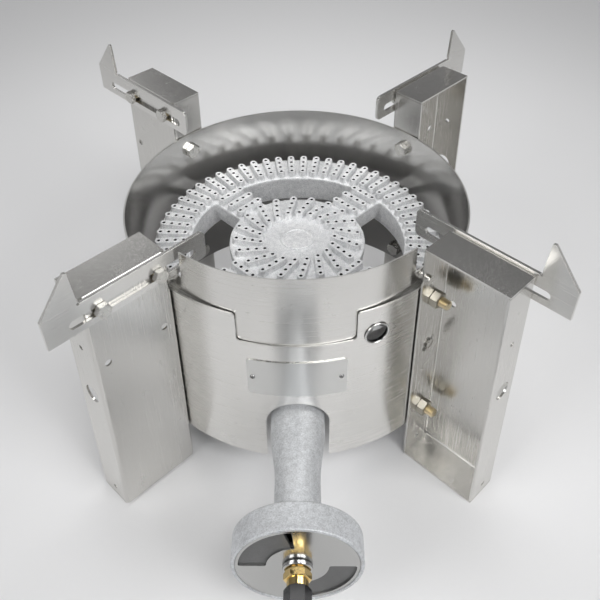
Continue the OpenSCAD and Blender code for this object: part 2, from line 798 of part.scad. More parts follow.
// Radius of the outside of the tube at a distance z in front of the axis of the ring
waist_z = venturi_reach - 3 * cup_depth;
full_z = ring_r + 2 * head_draft;
tube_steps = 12;
function tube_profile(wall) = [for (i = [0 : tube_steps]) let (t = i / tube_steps)
    [tube_r + (waist_r - tube_r) * ease(t) - wall, full_z + t * (waist_z - full_z)]];

// Cast venturi: elbow under the hub, waisted tube and air cup with its web
module venturi() {
    fillet = cup_wall + 1;
    cup_in = cup_back + web_t;
    chamber_r = cup_r - cup_wall - web_t / 2;
    throat_r = waist_r - tube_wall;
    color("#a6acb2") difference() {
        union() {
            translate([0, 0, neck_z]) linear_extrude(flange_t) flange_outline();
            elbow(tube_r);
            on_axis() rotate_extrude() polygon(concat([[0, elbow_r], [tube_r, elbow_r]],
                tube_profile(0), [[waist_r, cup_back - fillet],
                [waist_r + fillet / 3, cup_back - fillet / 3], [waist_r + fillet, cup_back],
                [cup_r - fillet / 2, cup_back], [cup_r, cup_back + fillet / 2],
                [cup_r, venturi_reach - fillet / 4], [cup_r - fillet / 4, venturi_reach],
                [cup_r - cup_wall, venturi_reach], [cup_r - cup_wall, plate_seat],
                [0, plate_seat]]));
        }
        elbow(neck_bore_r);
        on_axis() {
            rotate_extrude() polygon([[0, elbow_r], [neck_bore_r, elbow_r], [neck_bore_r, full_z],
                [throat_r, waist_z], [throat_r, cup_in], [chamber_r, cup_in],
                [chamber_r, plate_seat - web_t], [0, plate_seat - web_t]]);
            translate([0, 0, plate_seat - 1.5 * web_t]) linear_extrude(2 * web_t) {
                air_openings(air_turn - 90 + (90 - air_angle) + air_open_angle);
                circle(stem_r);
            }
        }
    }
}

// Quarter bend between the tube and the flange, of a given radius of section
module elbow(r) {
    translate([0, -elbow_r, neck_z]) rotate([-90, 0, 90])
        rotate_extrude(angle = 90) translate([elbow_r, 0]) circle(r);
}

// Turning plate that opens and closes the air openings
module air_shutter() {
    color("#c6c5c1") on_axis() translate([0, 0, plate_seat + turn_gap])
        linear_extrude(shutter_t) difference() {
            circle(shutter_r, $fn = 180);
            circle(stem_r + run_fit);
            air_openings(air_turn);
        }
}

// Round nut that clamps the shutter
module lock_nut() {
    bevel = lock_len / 4;
    color("#8d8f92") on_axis() translate([0, 0, lock_seat]) rotate_extrude()
        polygon([[stem_r, 0], [lock_r - bevel, 0], [lock_r, bevel],
            [lock_r, lock_len - bevel], [lock_r - bevel, lock_len], [stem_r, lock_len]]);
}

// Brass fitting: a threaded stem with the gas jet, and a hexagon
module orifice_fitting() {
    color("#c9a455") on_axis() difference() {
        union() {
            translate([0, 0, stem_foot]) cylinder(r = stem_r, h = fitting_seat - stem_foot + sink);
            translate([0, 0, fitting_seat + fitting_len]) mirror([0, 0, 1])
                hexagon(fitting_af, fitting_len);
        }
        translate([0, 0, stem_foot - over]) cylinder(r = jet_r, h = web_t + 2 * over);
        translate([0, 0, stem_foot + web_t])
            cylinder(r = stem_r / 2, h = inlet_seat - stem_foot);
    }
}

// Hexagonal coupling that takes the gas hose
module inlet_coupling() {
    color("#26262a") on_axis() translate([0, 0, inlet_seat]) difference() {
        hexagon(inlet_af, inlet_len);
        translate([0, 0, -over]) cylinder(r = stem_r / 2, h = inlet_len);
        translate([0, 0, inlet_len - inlet_depth]) cylinder(r = inlet_r, h = inlet_depth + over);
    }
}

wind_ring();
front_shield();
name_plate();
plate_screws();
sight_eyelet();
leg(LEFT_FRONT);  // leg_front_left
leg(RIGHT_FRONT);  // leg_front_right
leg(RIGHT_BACK);  // leg_back_right
leg(LEFT_BACK);  // leg_back_left
pot_bracket(LEFT_FRONT);  // pot_bracket_front_left
pot_bracket(RIGHT_FRONT);  // pot_bracket_front_right
pot_bracket(RIGHT_BACK);  // pot_bracket_back_right
pot_bracket(LEFT_BACK);  // pot_bracket_back_left
leg_bolts();
leg_nuts();
bracket_bolts();
bracket_nuts();
shield_spacers();
shield_screws();
burner_head();
head_screws();
flange_gasket();
flange_bolts();
venturi();
air_shutter();
lock_nut();
orifice_fitting();
inlet_coupling();
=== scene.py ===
"""Looks of a floor-standing gas burner: castings, folded sheet, fasteners and their finishes."""

from __future__ import annotations

import logging
import math
from dataclasses import dataclass
from enum import Enum
from typing import Callable, Iterable, Sequence, Union

import bmesh
import bpy
from mathutils import Matrix, Vector


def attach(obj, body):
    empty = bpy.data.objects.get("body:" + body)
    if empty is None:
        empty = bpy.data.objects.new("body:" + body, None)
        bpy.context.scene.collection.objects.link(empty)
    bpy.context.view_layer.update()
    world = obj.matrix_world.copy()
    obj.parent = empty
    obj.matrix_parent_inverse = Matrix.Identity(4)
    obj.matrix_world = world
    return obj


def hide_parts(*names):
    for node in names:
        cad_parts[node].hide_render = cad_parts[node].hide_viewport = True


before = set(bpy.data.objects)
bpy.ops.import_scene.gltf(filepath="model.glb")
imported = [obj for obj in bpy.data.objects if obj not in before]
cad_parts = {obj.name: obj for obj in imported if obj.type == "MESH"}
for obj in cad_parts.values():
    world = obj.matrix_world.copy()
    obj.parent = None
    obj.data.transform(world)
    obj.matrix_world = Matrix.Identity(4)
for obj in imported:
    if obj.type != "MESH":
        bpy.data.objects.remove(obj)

LOG = logging.getLogger("gas_burner")
MM = 0.001
# Give of a test that has to tell neighbouring edges apart
TIGHT = 0.05 * MM
# Least part of a direction along an axis that counts as along it, and the most across it
ALONG, ACROSS = 0.9, 0.1
# Scale of a pattern that runs alike in all directions
EVEN = (1.0, 1.0, 1.0)
# Angles of the points of a small quarter circle
QUARTER = [math.radians(angle) for angle in range(0, 91, 15)]
# The notch in the ring: half its width, the height of its foot and the radius there, in
# millimetres
NOTCH = (51.5, 227.0, 2.5)
# Painted shade on the web in the cup of the venturi: height of its axis, place of its web and
# radius inside, in metres
CUP_SHADE = (0.093, -0.2985, 0.0494)

Colour = tuple[float, float, float]
Spot = tuple[float, float, float]
Line = Sequence[tuple[float, float]]


@dataclass(frozen=True)
class Term:
    """A number in a shader tree that takes part in arithmetic as a plain number does."""

    tree: bpy.types.NodeTree
    socket: bpy.types.NodeSocket

    def math(self, operation: str, *values: Amount) -> Term:
        """Adds one Math node.

        Args:
            operation: Name of the operation, as the node spells it.
            values: Its inputs in order, terms or plain numbers.

        Returns:
            The node's result.
        """
        node = self.tree.nodes.new("ShaderNodeMath")
        node.operation = operation
        for place, value in zip(node.inputs, values):
            if isinstance(value, Term):
                self.tree.links.new(value.socket, place)
            else:
                place.default_value = value
        return Term(self.tree, node.outputs[0])

    def __add__(self, other: Amount) -> Term:
        """The sum of the two."""
        return self.math("ADD", self, other)

    def __radd__(self, other: Amount) -> Term:
        """The sum of the two."""
        return self.math("ADD", other, self)

    def __sub__(self, other: Amount) -> Term:
        """This less the other."""
        return self.math("SUBTRACT", self, other)

    def __rsub__(self, other: Amount) -> Term:
        """The other less this."""
        return self.math("SUBTRACT", other, self)

    def __mul__(self, other: Amount) -> Term:
        """The product of the two."""
        return self.math("MULTIPLY", self, other)

    def __pow__(self, other: Amount) -> Term:
        """This to the power of the other."""
        return self.math("POWER", self, other)

    def smooth(self, low: float, high: float) -> Term:
        """This as a smooth step.

        Args:
            low: Value up to which the step is 0.
            high: Value from which it is 1.

        Returns:
            The step.
        """
        node = self.tree.nodes.new("ShaderNodeMapRange")
        node.interpolation_type = "SMOOTHSTEP"
        node.inputs["From Min"].default_value = low
        node.inputs["From Max"].default_value = high
        self.tree.links.new(self.socket, node.inputs["Value"])
        return Term(self.tree, node.outputs["Result"])

    def under(self, limit: float, fade: float) -> Term:
        """1 where this is under a limit, falling to 0 over a short fade."""
        return 1.0 - self.smooth(limit, limit + fade)

    def span(self, other: Term) -> Term:
        """The distance that the two make at a right angle."""
        return (self * self + other * other) ** 0.5


Amount = Union[Term, float]
Plug = Union[Term, bpy.types.NodeSocket, float, Sequence[float]]


class Nodes:
    """A node tree and the ways to add to it."""

    def __init__(self, tree: bpy.types.NodeTree) -> None:
        """Takes the tree."""
        self.tree = tree

    def plug(self, value: Plug, place: bpy.types.NodeSocket) -> None:
        """Gives a socket its value, or links it to the one that makes it.

        Args:
            value: A term, a socket or a plain value.
            place: The socket.
        """
        if isinstance(value, Term):
            value = value.socket
        if isinstance(value, bpy.types.NodeSocket):
            self.tree.links.new(value, place)
        else:
            place.default_value = value

    def node(
        self,
        kind: str,
        settings: dict[str, object] | None = None,
        inputs: dict[str | int, Plug] | None = None,
    ) -> bpy.types.Node:
        """Adds a node.

        Args:
            kind: Type of the node.
            settings: Its own properties by name.
            inputs: What its sockets take, by name or number.

        Returns:
            The node.
        """
        made = self.tree.nodes.new(kind)
        for key, value in (settings or {}).items():
            setattr(made, key, value)
        for key, value in (inputs or {}).items():
            self.plug(value, made.inputs[key])
        return made

    def place(self, scale: Sequence[float], turn: float = 0.0) -> bpy.types.NodeSocket:
        """Object coordinates turned about Z and scaled, for a pattern to lie on.

        Args:
            scale: Scale along each axis, in waves per metre.
            turn: Angle about Z in radians.

        Returns:
            The coordinates.
        """
        where = self.node("ShaderNodeTexCoord").outputs["Object"]
        for change in ({"Rotation": (0.0, 0.0, turn)}, {"Scale": scale}):
            made = self.node(
                "ShaderNodeMapping", {"vector_type": "POINT"}, {"Vector": where, **change}
            )
            where = made.outputs[0]
        return where

    def axes(self, space: str = "Object") -> tuple[Term, Term, Term]:
        """The coordinates X, Y and Z, each a term of its own.

        Args:
            space: Name of the coordinates, as the node spells it.

        Returns:
            The three terms.
        """
        where = self.node("ShaderNodeTexCoord").outputs[space]
        split = self.node("ShaderNodeSeparateXYZ", {}, {0: where})
        return tuple(Term(self.tree, split.outputs[k]) for k in range(3))

    def noise(
        self, where: bpy.types.NodeSocket, scale: float = 1.0, detail: float = 2.0,
        rough: float = 0.5,
    ) -> Term:
        """A cloudy pattern between about 0.2 and 0.8.

        Args:
            where: Coordinates that it lies on.
            scale: Its waves per unit of them.
            detail: Number of finer layers.
            rough: Strength of the finer layers.

        Returns:
            The pattern.
        """
        made = self.node(
            "ShaderNodeTexNoise",
            {"noise_dimensions": "3D"},
            {"Vector": where, "Scale": scale, "Detail": detail, "Roughness": rough},
        )
        return Term(self.tree, made.outputs[0])

    def cells(self, where: bpy.types.NodeSocket, scale: float) -> Term:
        """Distance to the nearest of scattered points."""
        made = self.node("ShaderNodeTexVoronoi", {}, {"Vector": where, "Scale": scale})
        return Term(self.tree, made.outputs["Distance"])

    def blend(self, amount: Plug, first: Plug, second: Plug) -> bpy.types.NodeSocket:
        """A colour between two, by an amount from 0 to 1."""
        inputs = {0: amount, 6: solid(first), 7: solid(second)}
        return self.node("ShaderNodeMix", {"data_type": "RGBA"}, inputs).outputs[2]

    def seen(self) -> Term:
        """1 for what the camera or a gloss shows, and 0 for all other light."""
        kinds = self.node("ShaderNodeLightPath").outputs
        return Term(self.tree, kinds["Is Camera Ray"]) + Term(self.tree, kinds["Is Glossy Ray"])


class Shading(Nodes):
    """The node tree of one finish, which ends in its Principled shader."""

    def __init__(self, name: str, **constants: float) -> None:
        """Starts a material.

        Args:
            name: Name of the material.
            constants: Values that are the same all over, by socket name with _ for spaces.
        """
        self.material = bpy.data.materials.new(name)
        self.material.use_nodes = True
        super().__init__(self.material.node_tree)
        self.shader = self.tree.nodes["Principled BSDF"]
        for key, value in constants.items():
            self.plug(value, self.shader.inputs[key.replace("_", " ")])

    def paint(self, colour: bpy.types.NodeSocket) -> None:
        """Feeds the base colour."""
        self.plug(colour, self.shader.inputs["Base Color"])

    def gloss(self, roughness: Term) -> None:
        """Feeds the roughness."""
        self.plug(roughness, self.shader.inputs["Roughness"])

    def relief(self, height: Term, depth: float) -> None:
        """Feeds the normal with a bump.

        Args:
            height: Its height, from 0 to 1.
            depth: Its full depth in metres.
        """
        inputs = {"Height": height, "Distance": depth, "Strength": 1.0}
        made = self.node("ShaderNodeBump", {}, inputs)
        self.plug(made.outputs[0], self.shader.inputs["Normal"])


def solid(value: Plug) -> Plug:
    """A colour with full opacity, or the link that it already is."""
    return (*value, 1.0) if isinstance(value, tuple) else value


def ends(tone: Colour, dark: float, light: float) -> tuple[Colour, Colour]:
    """The darkest and the lightest shade of a tone, as shares of it."""
    return tuple(dark * c for c in tone), tuple(min(1.0, light * c) for c in tone)


class Grain(Enum):
    """Way the brushing runs over a sheet, as waves per metre along each axis."""

    ROUND = (9.0, 9.0, 2600.0)
    UPRIGHT = (1500.0, 1500.0, 14.0)
    LENGTHWAYS = (14.0, 1700.0, 1700.0)
    FLAT = (900.0, 60.0, 900.0)


@dataclass(frozen=True)
class BrushedSheet:
    """Brushed stainless sheet, with painted shade inside a radius where one is given, darkest
    towards the bottom.

    Patterns are in waves per metre, lengths in metres and the turn in radians.
    """

    name: str
    grain: Grain
    tone: Colour = (0.80, 0.79, 0.765)
    dark: float = 0.80
    light: float = 1.12
    turn: float = 0.0
    across: float = 0.0
    pull: float = 0.65
    rough: float = 0.25
    streak: float = 0.10
    groove: float = 0.000025
    broad_waves: float = 14.0
    mark_waves: float = 55.0
    shade_within: float = 0.0
    fade: float = 0.0006
    shade_colour: Colour = (0.17, 0.165, 0.16)
    shade_amount: float = 0.72
    shade_lost_up: float = 0.72
    shade_rise: tuple[float, float] = (0.135, 0.215)
    polished: float = 0.07

    def make(self) -> bpy.types.Material:
        """Builds the material.

        Returns:
            The material.
        """
        s = Shading(
            self.name, Metallic=1.0, Anisotropic=self.pull, Anisotropic_Rotation=self.across
        )
        lines = s.noise(s.place(self.grain.value, self.turn), 1.0, 3.0, 0.65) - 0.5
        broad = s.noise(s.place(EVEN, self.turn), self.broad_waves, 3.0, 0.55) - 0.5
        marks = s.noise(s.place(EVEN), self.mark_waves, 4.0, 0.6)
        shade = lines * self.streak * 2.2 + broad * 0.10
        paint = s.blend(0.5 + shade * 2.0, *ends(self.tone, self.dark, self.light))
        rough = self.rough
        # Painted shade inside the radius, darker towards the bottom; the roughness is lowered
        # there too.
        if self.shade_within:
            x, y, z = s.axes()
            inside = x.span(y).under(self.shade_within, self.fade)
            left = 1.0 - (z + broad * 0.05).smooth(*self.shade_rise) * self.shade_lost_up
            paint = s.blend(inside * left * self.shade_amount, paint, self.shade_colour)
            rough = rough - inside * self.polished
        s.paint(paint)
        s.gloss(
            rough + lines * self.streak * 1.6 + broad * 0.05 + marks.smooth(0.58, 0.72) * 0.02
        )
        s.relief(lines, self.groove)
        return s.material


@dataclass(frozen=True)
class SandCast:
    """Sand-cast aluminium, grainy and slightly blue.

    Where it is told a hollow, painted shade darkens it in there: the height of the hollow's
    middle, the place along Y up to which it reaches, and its radius. Patterns are in waves per
    metre and lengths in metres.
    """

    name: str
    tone: Colour = (0.82, 0.835, 0.855)
    dark: float = 0.68
    light: float = 1.22
    grit: float = 0.00040
    rough: float = 0.56
    grit_waves: float = 800.0
    lump_waves: float = 190.0
    pit_waves: float = 700.0
    broad_waves: float = 22.0
    hollow: Spot | None = None
    hollow_shade_tone: Colour = (0.15, 0.15, 0.148)
    hollow_shade: float = 0.9
    fade: float = 0.0004

    def make(self) -> bpy.types.Material:
        """Builds the material.

        Returns:
            The material.
        """
        s = Shading(self.name, Metallic=0.7)
        where = s.place(EVEN)
        grit = s.noise(where, self.grit_waves, 4.0, 0.8)
        lumps = s.noise(where, self.lump_waves, 3.0, 0.6)
        pits = s.cells(where, self.pit_waves)
        broad = s.noise(where, self.broad_waves, 3.0, 0.55) - 0.5
        amount = (grit + lumps * 0.4 + broad * 0.25).smooth(0.42, 0.98)
        paint = s.blend(amount, *ends(self.tone, self.dark, self.light))
        # Painted shade in the hollow, which is darkened towards the hollow tone.
        if self.hollow:
            x, y, z = s.axes()
            up, back, reach = self.hollow
            inside = x.span(z - up).under(reach, self.fade) * y.under(back, self.fade)
            paint = s.blend(inside * self.hollow_shade, paint, self.hollow_shade_tone)
        s.paint(paint)
        s.gloss(self.rough + (grit - 0.5) * 0.25 + broad * 0.12)
        s.relief(grit * 0.75 + lumps * 0.30 + pits.smooth(0.05, 0.5) * 0.12, self.grit)
        return s.material


@dataclass(frozen=True)
class Plated:
    """Turned or forged metal with a plated or polished skin, with near-black painted shade inside
    a radius if one is given.

    Patterns are in waves per metre and lengths in metres.
    """

    name: str
    tone: Colour
    rough: float = 0.2
    metal: float = 1.0
    stain: Colour = (0.35, 0.33, 0.30)
    stained: float = 0.25
    cloud_waves: float = 130.0
    fine_waves: float = 900.0
    wear: float = 0.00004
    hole_shade_within: float = 0.0
    hole_shade_colour: Colour = (0.03, 0.03, 0.03)
    fade: float = 0.0004

    def make(self) -> bpy.types.Material:
        """Builds the material.

        Returns:
            The material.
        """
        s = Shading(self.name, Metallic=self.metal)
        where = s.place(EVEN)
        cloud = s.noise(where, self.cloud_waves, 3.0, 0.6)
        fine = s.noise(where, self.fine_waves, 2.0, 0.5)
        paint = s.blend(cloud.smooth(0.50, 0.75) * self.stained, self.tone, self.stain)
        # Painted shade inside the radius, nearly black.
        if self.hole_shade_within:
            x, y, _ = s.axes()
            paint = s.blend(x.span(y).under(self.hole_shade_within, self.fade), paint, self.hole_shade_colour)
        s.paint(paint)
        s.gloss(self.rough + (cloud - 0.5) * 0.16 + (fine - 0.5) * 0.08)
        s.relief(fine * 0.6 + cloud * 0.4, self.wear)
        return s.material


@dataclass(frozen=True)
class SoftBox:
    """One lamp of the studio, in metres and watts, whose light fans out over some degrees."""

    name: str
    at: Spot
    size: tuple[float, float]
    power: float
    look: Spot
    fan: float = 180.0

    def hang(self) -> None:
        """Hangs the lamp up, turned to the point that it looks at."""
        data = bpy.data.lights.new(self.name, "AREA")
        data.shape = "RECTANGLE"
        data.size, data.size_y = self.size
        data.energy, data.spread = self.power, math.radians(self.fan)
        made = bpy.data.objects.new(self.name, data)
        made.location = self.at
        away = Vector(self.at) - Vector(self.look)
        made.rotation_euler = away.to_track_quat("Z", "Y").to_euler()
        bpy.context.scene.collection.objects.link(made)


@dataclass(frozen=True)
class Studio:
    """Pale floor, soft lights and the camera at the angle of the photograph.

    The eye is in millimetres, its angles in radians, and the lens and the frame in pixels.
    The floor and the heights and widths of the fades are in metres.
    """

    eye: Spot = (7.406, -639.585, 703.687)
    yaw: float = -0.00625
    down: float = 0.64317
    roll: float = -0.01196
    lens_px: float = 807.815
    frame_px: float = 600.0
    middle_px: float = 200.0
    sensor: float = 36.0
    near_clip: float = 0.01
    far_clip: float = 60.0
    floor_out: float = 9.0
    floor_tones: tuple[Colour, Colour] = ((0.76, 0.76, 0.765), (0.83, 0.83, 0.835))
    far_out: tuple[float, float] = (0.8, 2.6)
    far_glow: Colour = (0.34, 0.34, 0.345)
    room_up: tuple[float, float] = (-0.15, 0.75)
    room_tones: tuple[Colour, Colour] = ((0.03, 0.03, 0.031), (0.15, 0.15, 0.152))
    wall_up: tuple[float, float] = (0.28, 0.50)
    wall_tone: Colour = (0.42, 0.42, 0.425)
    lamps: tuple[SoftBox, ...] = (
        SoftBox("soft_box_right", (1.3, -1.1, 1.35), (1.2, 0.8), 5.2, (0.0, 0.35, 0.0), 80.0),
        SoftBox("soft_box_left", (-1.35, -1.0, 1.3), (1.2, 0.8), 3.4, (0.0, 0.35, 0.0), 80.0),
        SoftBox("soft_box_above", (0.0, 0.45, 1.6), (0.8, 0.6), 2.6, (0.0, 0.5, 0.0), 90.0),
        SoftBox("soft_box_near", (0.3, -0.95, 1.5), (0.5, 0.4), 0.6, (0.02, -0.1, 0.0), 56.0),
        SoftBox("soft_box_back", (-0.75, 1.5, 1.35), (0.5, 0.4), 0.7, (-0.1, -0.1, 0.27)),
    )

    def camera(self) -> None:
        """Places the camera."""
        data = bpy.data.cameras.new("camera")
        data.sensor_width = self.sensor
        data.sensor_fit = "HORIZONTAL"
        data.lens = self.lens_px / self.frame_px * self.sensor
        data.shift_y = -(self.frame_px / 2 - self.middle_px) / self.frame_px
        data.clip_start, data.clip_end = self.near_clip, self.far_clip
        made = bpy.data.objects.new("camera", data)
        bpy.context.scene.collection.objects.link(made)
        ahead = Vector((
            math.sin(self.yaw) * math.cos(self.down),
            math.cos(self.yaw) * math.cos(self.down),
            -math.sin(self.down),
        ))
        right = Vector((math.cos(self.yaw), -math.sin(self.yaw), 0.0))
        up = right.cross(ahead)
        right, up = (
            right * math.cos(self.roll) + up * math.sin(self.roll),
            up * math.cos(self.roll) - right * math.sin(self.roll),
        )
        turn = Matrix((right, up, -ahead)).transposed().to_4x4()
        made.matrix_world = Matrix.Translation(Vector(self.eye) * MM) @ turn
        bpy.context.scene.camera = made

    def surround(self) -> None:
        """Fills the room with plain grey light and stands a pale backdrop round it."""
        world = bpy.data.worlds.new("studio")
        bpy.context.scene.world = world
        world.use_nodes = True
        s = Nodes(world.node_tree)
        height = s.axes("Generated")[2]
        room = s.blend(height.smooth(*self.room_up), *self.room_tones)
        wall = s.seen() * (1.0 - height.smooth(*self.wall_up))
        back = s.tree.nodes["Background"]
        s.plug(s.blend(wall, room, self.wall_tone), back.inputs["Color"])
        s.plug(1.0, back.inputs["Strength"])

    def floor(self) -> None:
        """Lays the pale floor, whose far part glows as the backdrop does."""
        bpy.ops.mesh.primitive_circle_add(
            vertices=64, radius=self.floor_out, fill_type="NGON", location=(0.0, 0.0, 0.0)
        )
        made = bpy.context.object
        made.name = "studio_floor"
        s = Shading(
            "floor_paint", Roughness=0.75, Specular_IOR_Level=0.25, Emission_Strength=1.0
        )
        where = s.place(EVEN)
        cloud = s.noise(where, 1.4, 2.0, 0.5)
        fine = s.noise(where, 260.0, 3.0, 0.6)
        s.paint(s.blend(0.5 + (cloud - 0.5) * 0.5 + (fine - 0.5) * 0.15, *self.floor_tones))
        x, y, _ = s.axes()
        glow = s.blend(s.seen() * x.span(y).smooth(*self.far_out), (0.0, 0.0, 0.0), self.far_glow)
        s.plug(glow, s.shader.inputs["Emission Color"])
        made.data.materials.append(s.material)

    def build(self) -> None:
        """Builds the whole studio."""
        view = bpy.context.scene.view_settings
        view.view_transform, view.look = "Standard", "None"
        view.exposure, view.gamma = 0.0, 1.0
        self.camera()
        self.surround()
        self.floor()
        for lamp in self.lamps:
            lamp.hang()


class Pick(Enum):
    """What is picked in edit mode."""

    POINTS = "VERT"
    EDGES = "EDGE"
    FACES = "FACE"


class Bench:
    """The piece on the bench, open in edit mode, and the hand tools that shape it."""

    def __init__(self, name: str, add: Callable[..., object], **size: object) -> None:
        """Starts a piece from a primitive at its size and place.

        Args:
            name: Name of the piece.
            add: Operator that adds the primitive.
            size: What the operator takes.
        """
        clear()
        add(**size)
        self.piece = bpy.context.object
        self.piece.name = name
        bpy.ops.object.transform_apply(location=True, rotation=True, scale=True)
        self.open()

    @classmethod
    def of(cls, piece: bpy.types.Object) -> Bench:
        """Puts an object that is there already on the bench.

        Args:
            piece: The object.

        Returns:
            The bench, open.
        """
        made = cls.__new__(cls)
        made.piece = piece
        return made.open()

    def open(self) -> Bench:
        """Opens the piece with everything picked.

        Returns:
            The bench.
        """
        alone(self.piece)
        bpy.ops.object.mode_set(mode="EDIT")
        bpy.ops.mesh.select_mode(type="VERT")
        bpy.ops.mesh.select_all(action="SELECT")
        return self

    def pick(self, part: Pick, test: Callable[[Vector, Vector], bool]) -> Bench:
        """Picks by place and direction.

        Args:
            part: What is picked.
            test: Takes a middle and a normal, or an edge's direction, and says whether to pick.

        Returns:
            The bench.
        """
        bpy.ops.mesh.select_mode(type=part.value)
        bpy.ops.mesh.select_all(action="DESELECT")
        mesh = bmesh.from_edit_mesh(self.piece.data)
        if part is Pick.FACES:
            for face in mesh.faces:
                face.select_set(test(face.calc_center_median(), face.normal))
        elif part is Pick.EDGES:
            for edge in mesh.edges:
                one, two = (v.co for v in edge.verts)
                edge.select_set(test((one + two) / 2, (two - one).normalized()))
        else:
            for point in mesh.verts:
                point.select_set(test(point.co, point.normal))
        mesh.select_flush_mode()
        bmesh.update_edit_mesh(self.piece.data)
        return self

    def everything(self) -> Bench:
        """Picks the whole piece."""
        bpy.ops.mesh.select_all(action="SELECT")
        return self

    def draw(self, points: Sequence[Vector]) -> Bench:
        """Extrudes the picked point along a line of points.

        Args:
            points: The points, of which the first is where it stands.

        Returns:
            The bench.
        """
        for one, two in zip(points, points[1:]):
            bpy.ops.mesh.extrude_region_move(
                TRANSFORM_OT_translate={"value": tuple(two - one)}
            )
        return self

    def extrude(self, way: Sequence[float]) -> Bench:
        """Extrudes what is picked."""
        bpy.ops.mesh.extrude_region_move(TRANSFORM_OT_translate={"value": tuple(way)})
        return self

    def inset(self, width: float, depth: float = 0.0) -> Bench:
        """Insets the picked faces."""
        bpy.ops.mesh.inset(thickness=width, depth=depth)
        return self

    def bevel(self, width: float, steps: int = 2, profile: float = 0.5) -> Bench:
        """Rounds the picked edges.

        Args:
            width: Width in metres that is taken off each side.
            steps: Number of faces across the round.
            profile: Its fullness.

        Returns:
            The bench.
        """
        bpy.ops.mesh.bevel(
            offset=width, segments=steps, profile=profile, affect="EDGES", clamp_overlap=True
        )
        return self

    def move(self, way: Sequence[float]) -> Bench:
        """Moves what is picked."""
        bpy.ops.transform.translate(value=tuple(way))
        return self

    def turn(self, angle: float, axis: str, centre: Sequence[float] = (0.0, 0.0, 0.0)) -> Bench:
        """Turns what is picked about an axis, by the right-hand rule.

        Args:
            angle: Angle in radians.
            axis: Name of the axis.
            centre: A point on it, in metres.

        Returns:
            The bench.
        """
        bpy.ops.transform.rotate(
            value=-angle, orient_axis=axis, orient_type="GLOBAL", center_override=tuple(centre)
        )
        return self

    def scale(self, by: Sequence[float], centre: Sequence[float] = (0.0, 0.0, 0.0)) -> Bench:
        """Scales what is picked about a point."""
        bpy.ops.transform.resize(value=tuple(by), center_override=tuple(centre))
        return self

    def spin(
        self, steps: int, angle: float = math.tau, axis: Sequence[float] = (0.0, 0.0, 1.0),
        centre: Sequence[float] = (0.0, 0.0, 0.0),
    ) -> Bench:
        """Sweeps what is picked round an axis, by the right-hand rule."""
        bpy.ops.mesh.spin(steps=steps, angle=-angle, center=tuple(centre), axis=tuple(axis))
        return self

    def repeat(
        self, count: int, angle: float = math.tau, axis: Sequence[float] = (0.0, 0.0, 1.0),
        centre: Sequence[float] = (0.0, 0.0, 0.0),
    ) -> Bench:
        """Repeats what is picked round an axis, by the right-hand rule.

        Args:
            count: Number of them in all.
            angle: Angle in radians that they share out.
            axis: Direction of the axis.
            centre: A point on it, in metres.

        Returns:
            The bench.
        """
        bpy.ops.mesh.spin(
            steps=count - 1, angle=-angle * (count - 1) / count, dupli=True,
            center=tuple(centre), axis=tuple(axis),
        )
        return self

    def clean(self, gap: float = 0.00001) -> Bench:
        """Merges doubled points and turns every face outwards.

        Args:
            gap: Distance in metres up to which points are merged.

        Returns:
            The bench.
        """
        self.everything()
        bpy.ops.mesh.remove_doubles(threshold=gap)
        bpy.ops.mesh.normals_make_consistent(inside=False)
        return self

    def close(self) -> bpy.types.Object:
        """Leaves edit mode."""
        bpy.ops.object.mode_set(mode="OBJECT")
        return self.piece

    def cut(self, tool: bpy.types.Object, way: str = "DIFFERENCE") -> Bench:
        """Cuts the piece with another, which is used up.

        Args:
            tool: The other piece.
            way: DIFFERENCE, UNION or INTERSECT.

        Returns:
            The bench, open again.
        """
        self.close()
        alone(self.piece)
        modifier = self.piece.modifiers.new("cut", "BOOLEAN")
        modifier.operation, modifier.object, modifier.solver = way, tool, "EXACT"
        bpy.ops.object.modifier_apply(modifier="cut")
        bpy.data.objects.remove(tool)
        return self.open()

    def with_modifier(self, kind: str, **settings: object) -> Bench:
        """Applies one modifier to the piece.

        Args:
            kind: Type of the modifier.
            settings: Its properties.

        Returns:
            The bench, open again.
        """
        self.close()
        alone(self.piece)
        modifier = self.piece.modifiers.new("shape", kind)
        for key, value in settings.items():
            setattr(modifier, key, value)
        bpy.ops.object.modifier_apply(modifier="shape")
        return self.open()

    def copy(self, name: str) -> Bench:
        """Copies the piece with its mesh.

        Args:
            name: Name of the copy.

        Returns:
            The copy, open on a bench of its own.
        """
        self.close()
        alone(self.piece)
        bpy.ops.object.duplicate()
        bpy.context.object.name = name
        return Bench.of(bpy.context.object)

    def finish(self, smooth: float = 35.0) -> bpy.types.Object:
        """Closes the piece and shades it.

        Args:
            smooth: Angle in degrees up to which it is shaded smooth.

        Returns:
            The piece.
        """
        self.close()
        shade(self.piece, smooth)
        return self.piece


def clear() -> None:
    """Leaves edit mode and picks nothing."""
    if bpy.context.mode != "OBJECT":
        bpy.ops.object.mode_set(mode="OBJECT")
    bpy.ops.object.select_all(action="DESELECT")


def alone(piece: bpy.types.Object) -> None:
    """Picks one object and nothing else.

    Args:
        piece: The object.
    """
    clear()
    piece.select_set(True)
    bpy.context.view_layer.objects.active = piece


def shade(piece: bpy.types.Object, angle: float) -> None:
    """Shades a piece smooth, with its larger faces kept flat.

    Args:
        piece: The piece.
        angle: Angle in degrees up to which it is shaded smooth.
    """
    alone(piece)
    bpy.ops.object.shade_smooth_by_angle(angle=math.radians(angle))
    modifier = piece.modifiers.new("even_light", "WEIGHTED_NORMAL")
    modifier.keep_sharp = True
    bpy.ops.object.modifier_apply(modifier="even_light")


def join(name: str, pieces: Sequence[bpy.types.Object]) -> bpy.types.Object:
    """Joins pieces into one.

    Args:
        name: Name of the result.
        pieces: The pieces, of which the first takes in the rest.

    Returns:
        The joined piece.
    """
    clear()
    for piece in pieces:
        piece.select_set(True)
    bpy.context.view_layer.objects.active = pieces[0]
    bpy.ops.object.join()
    pieces[0].name = name
    return pieces[0]


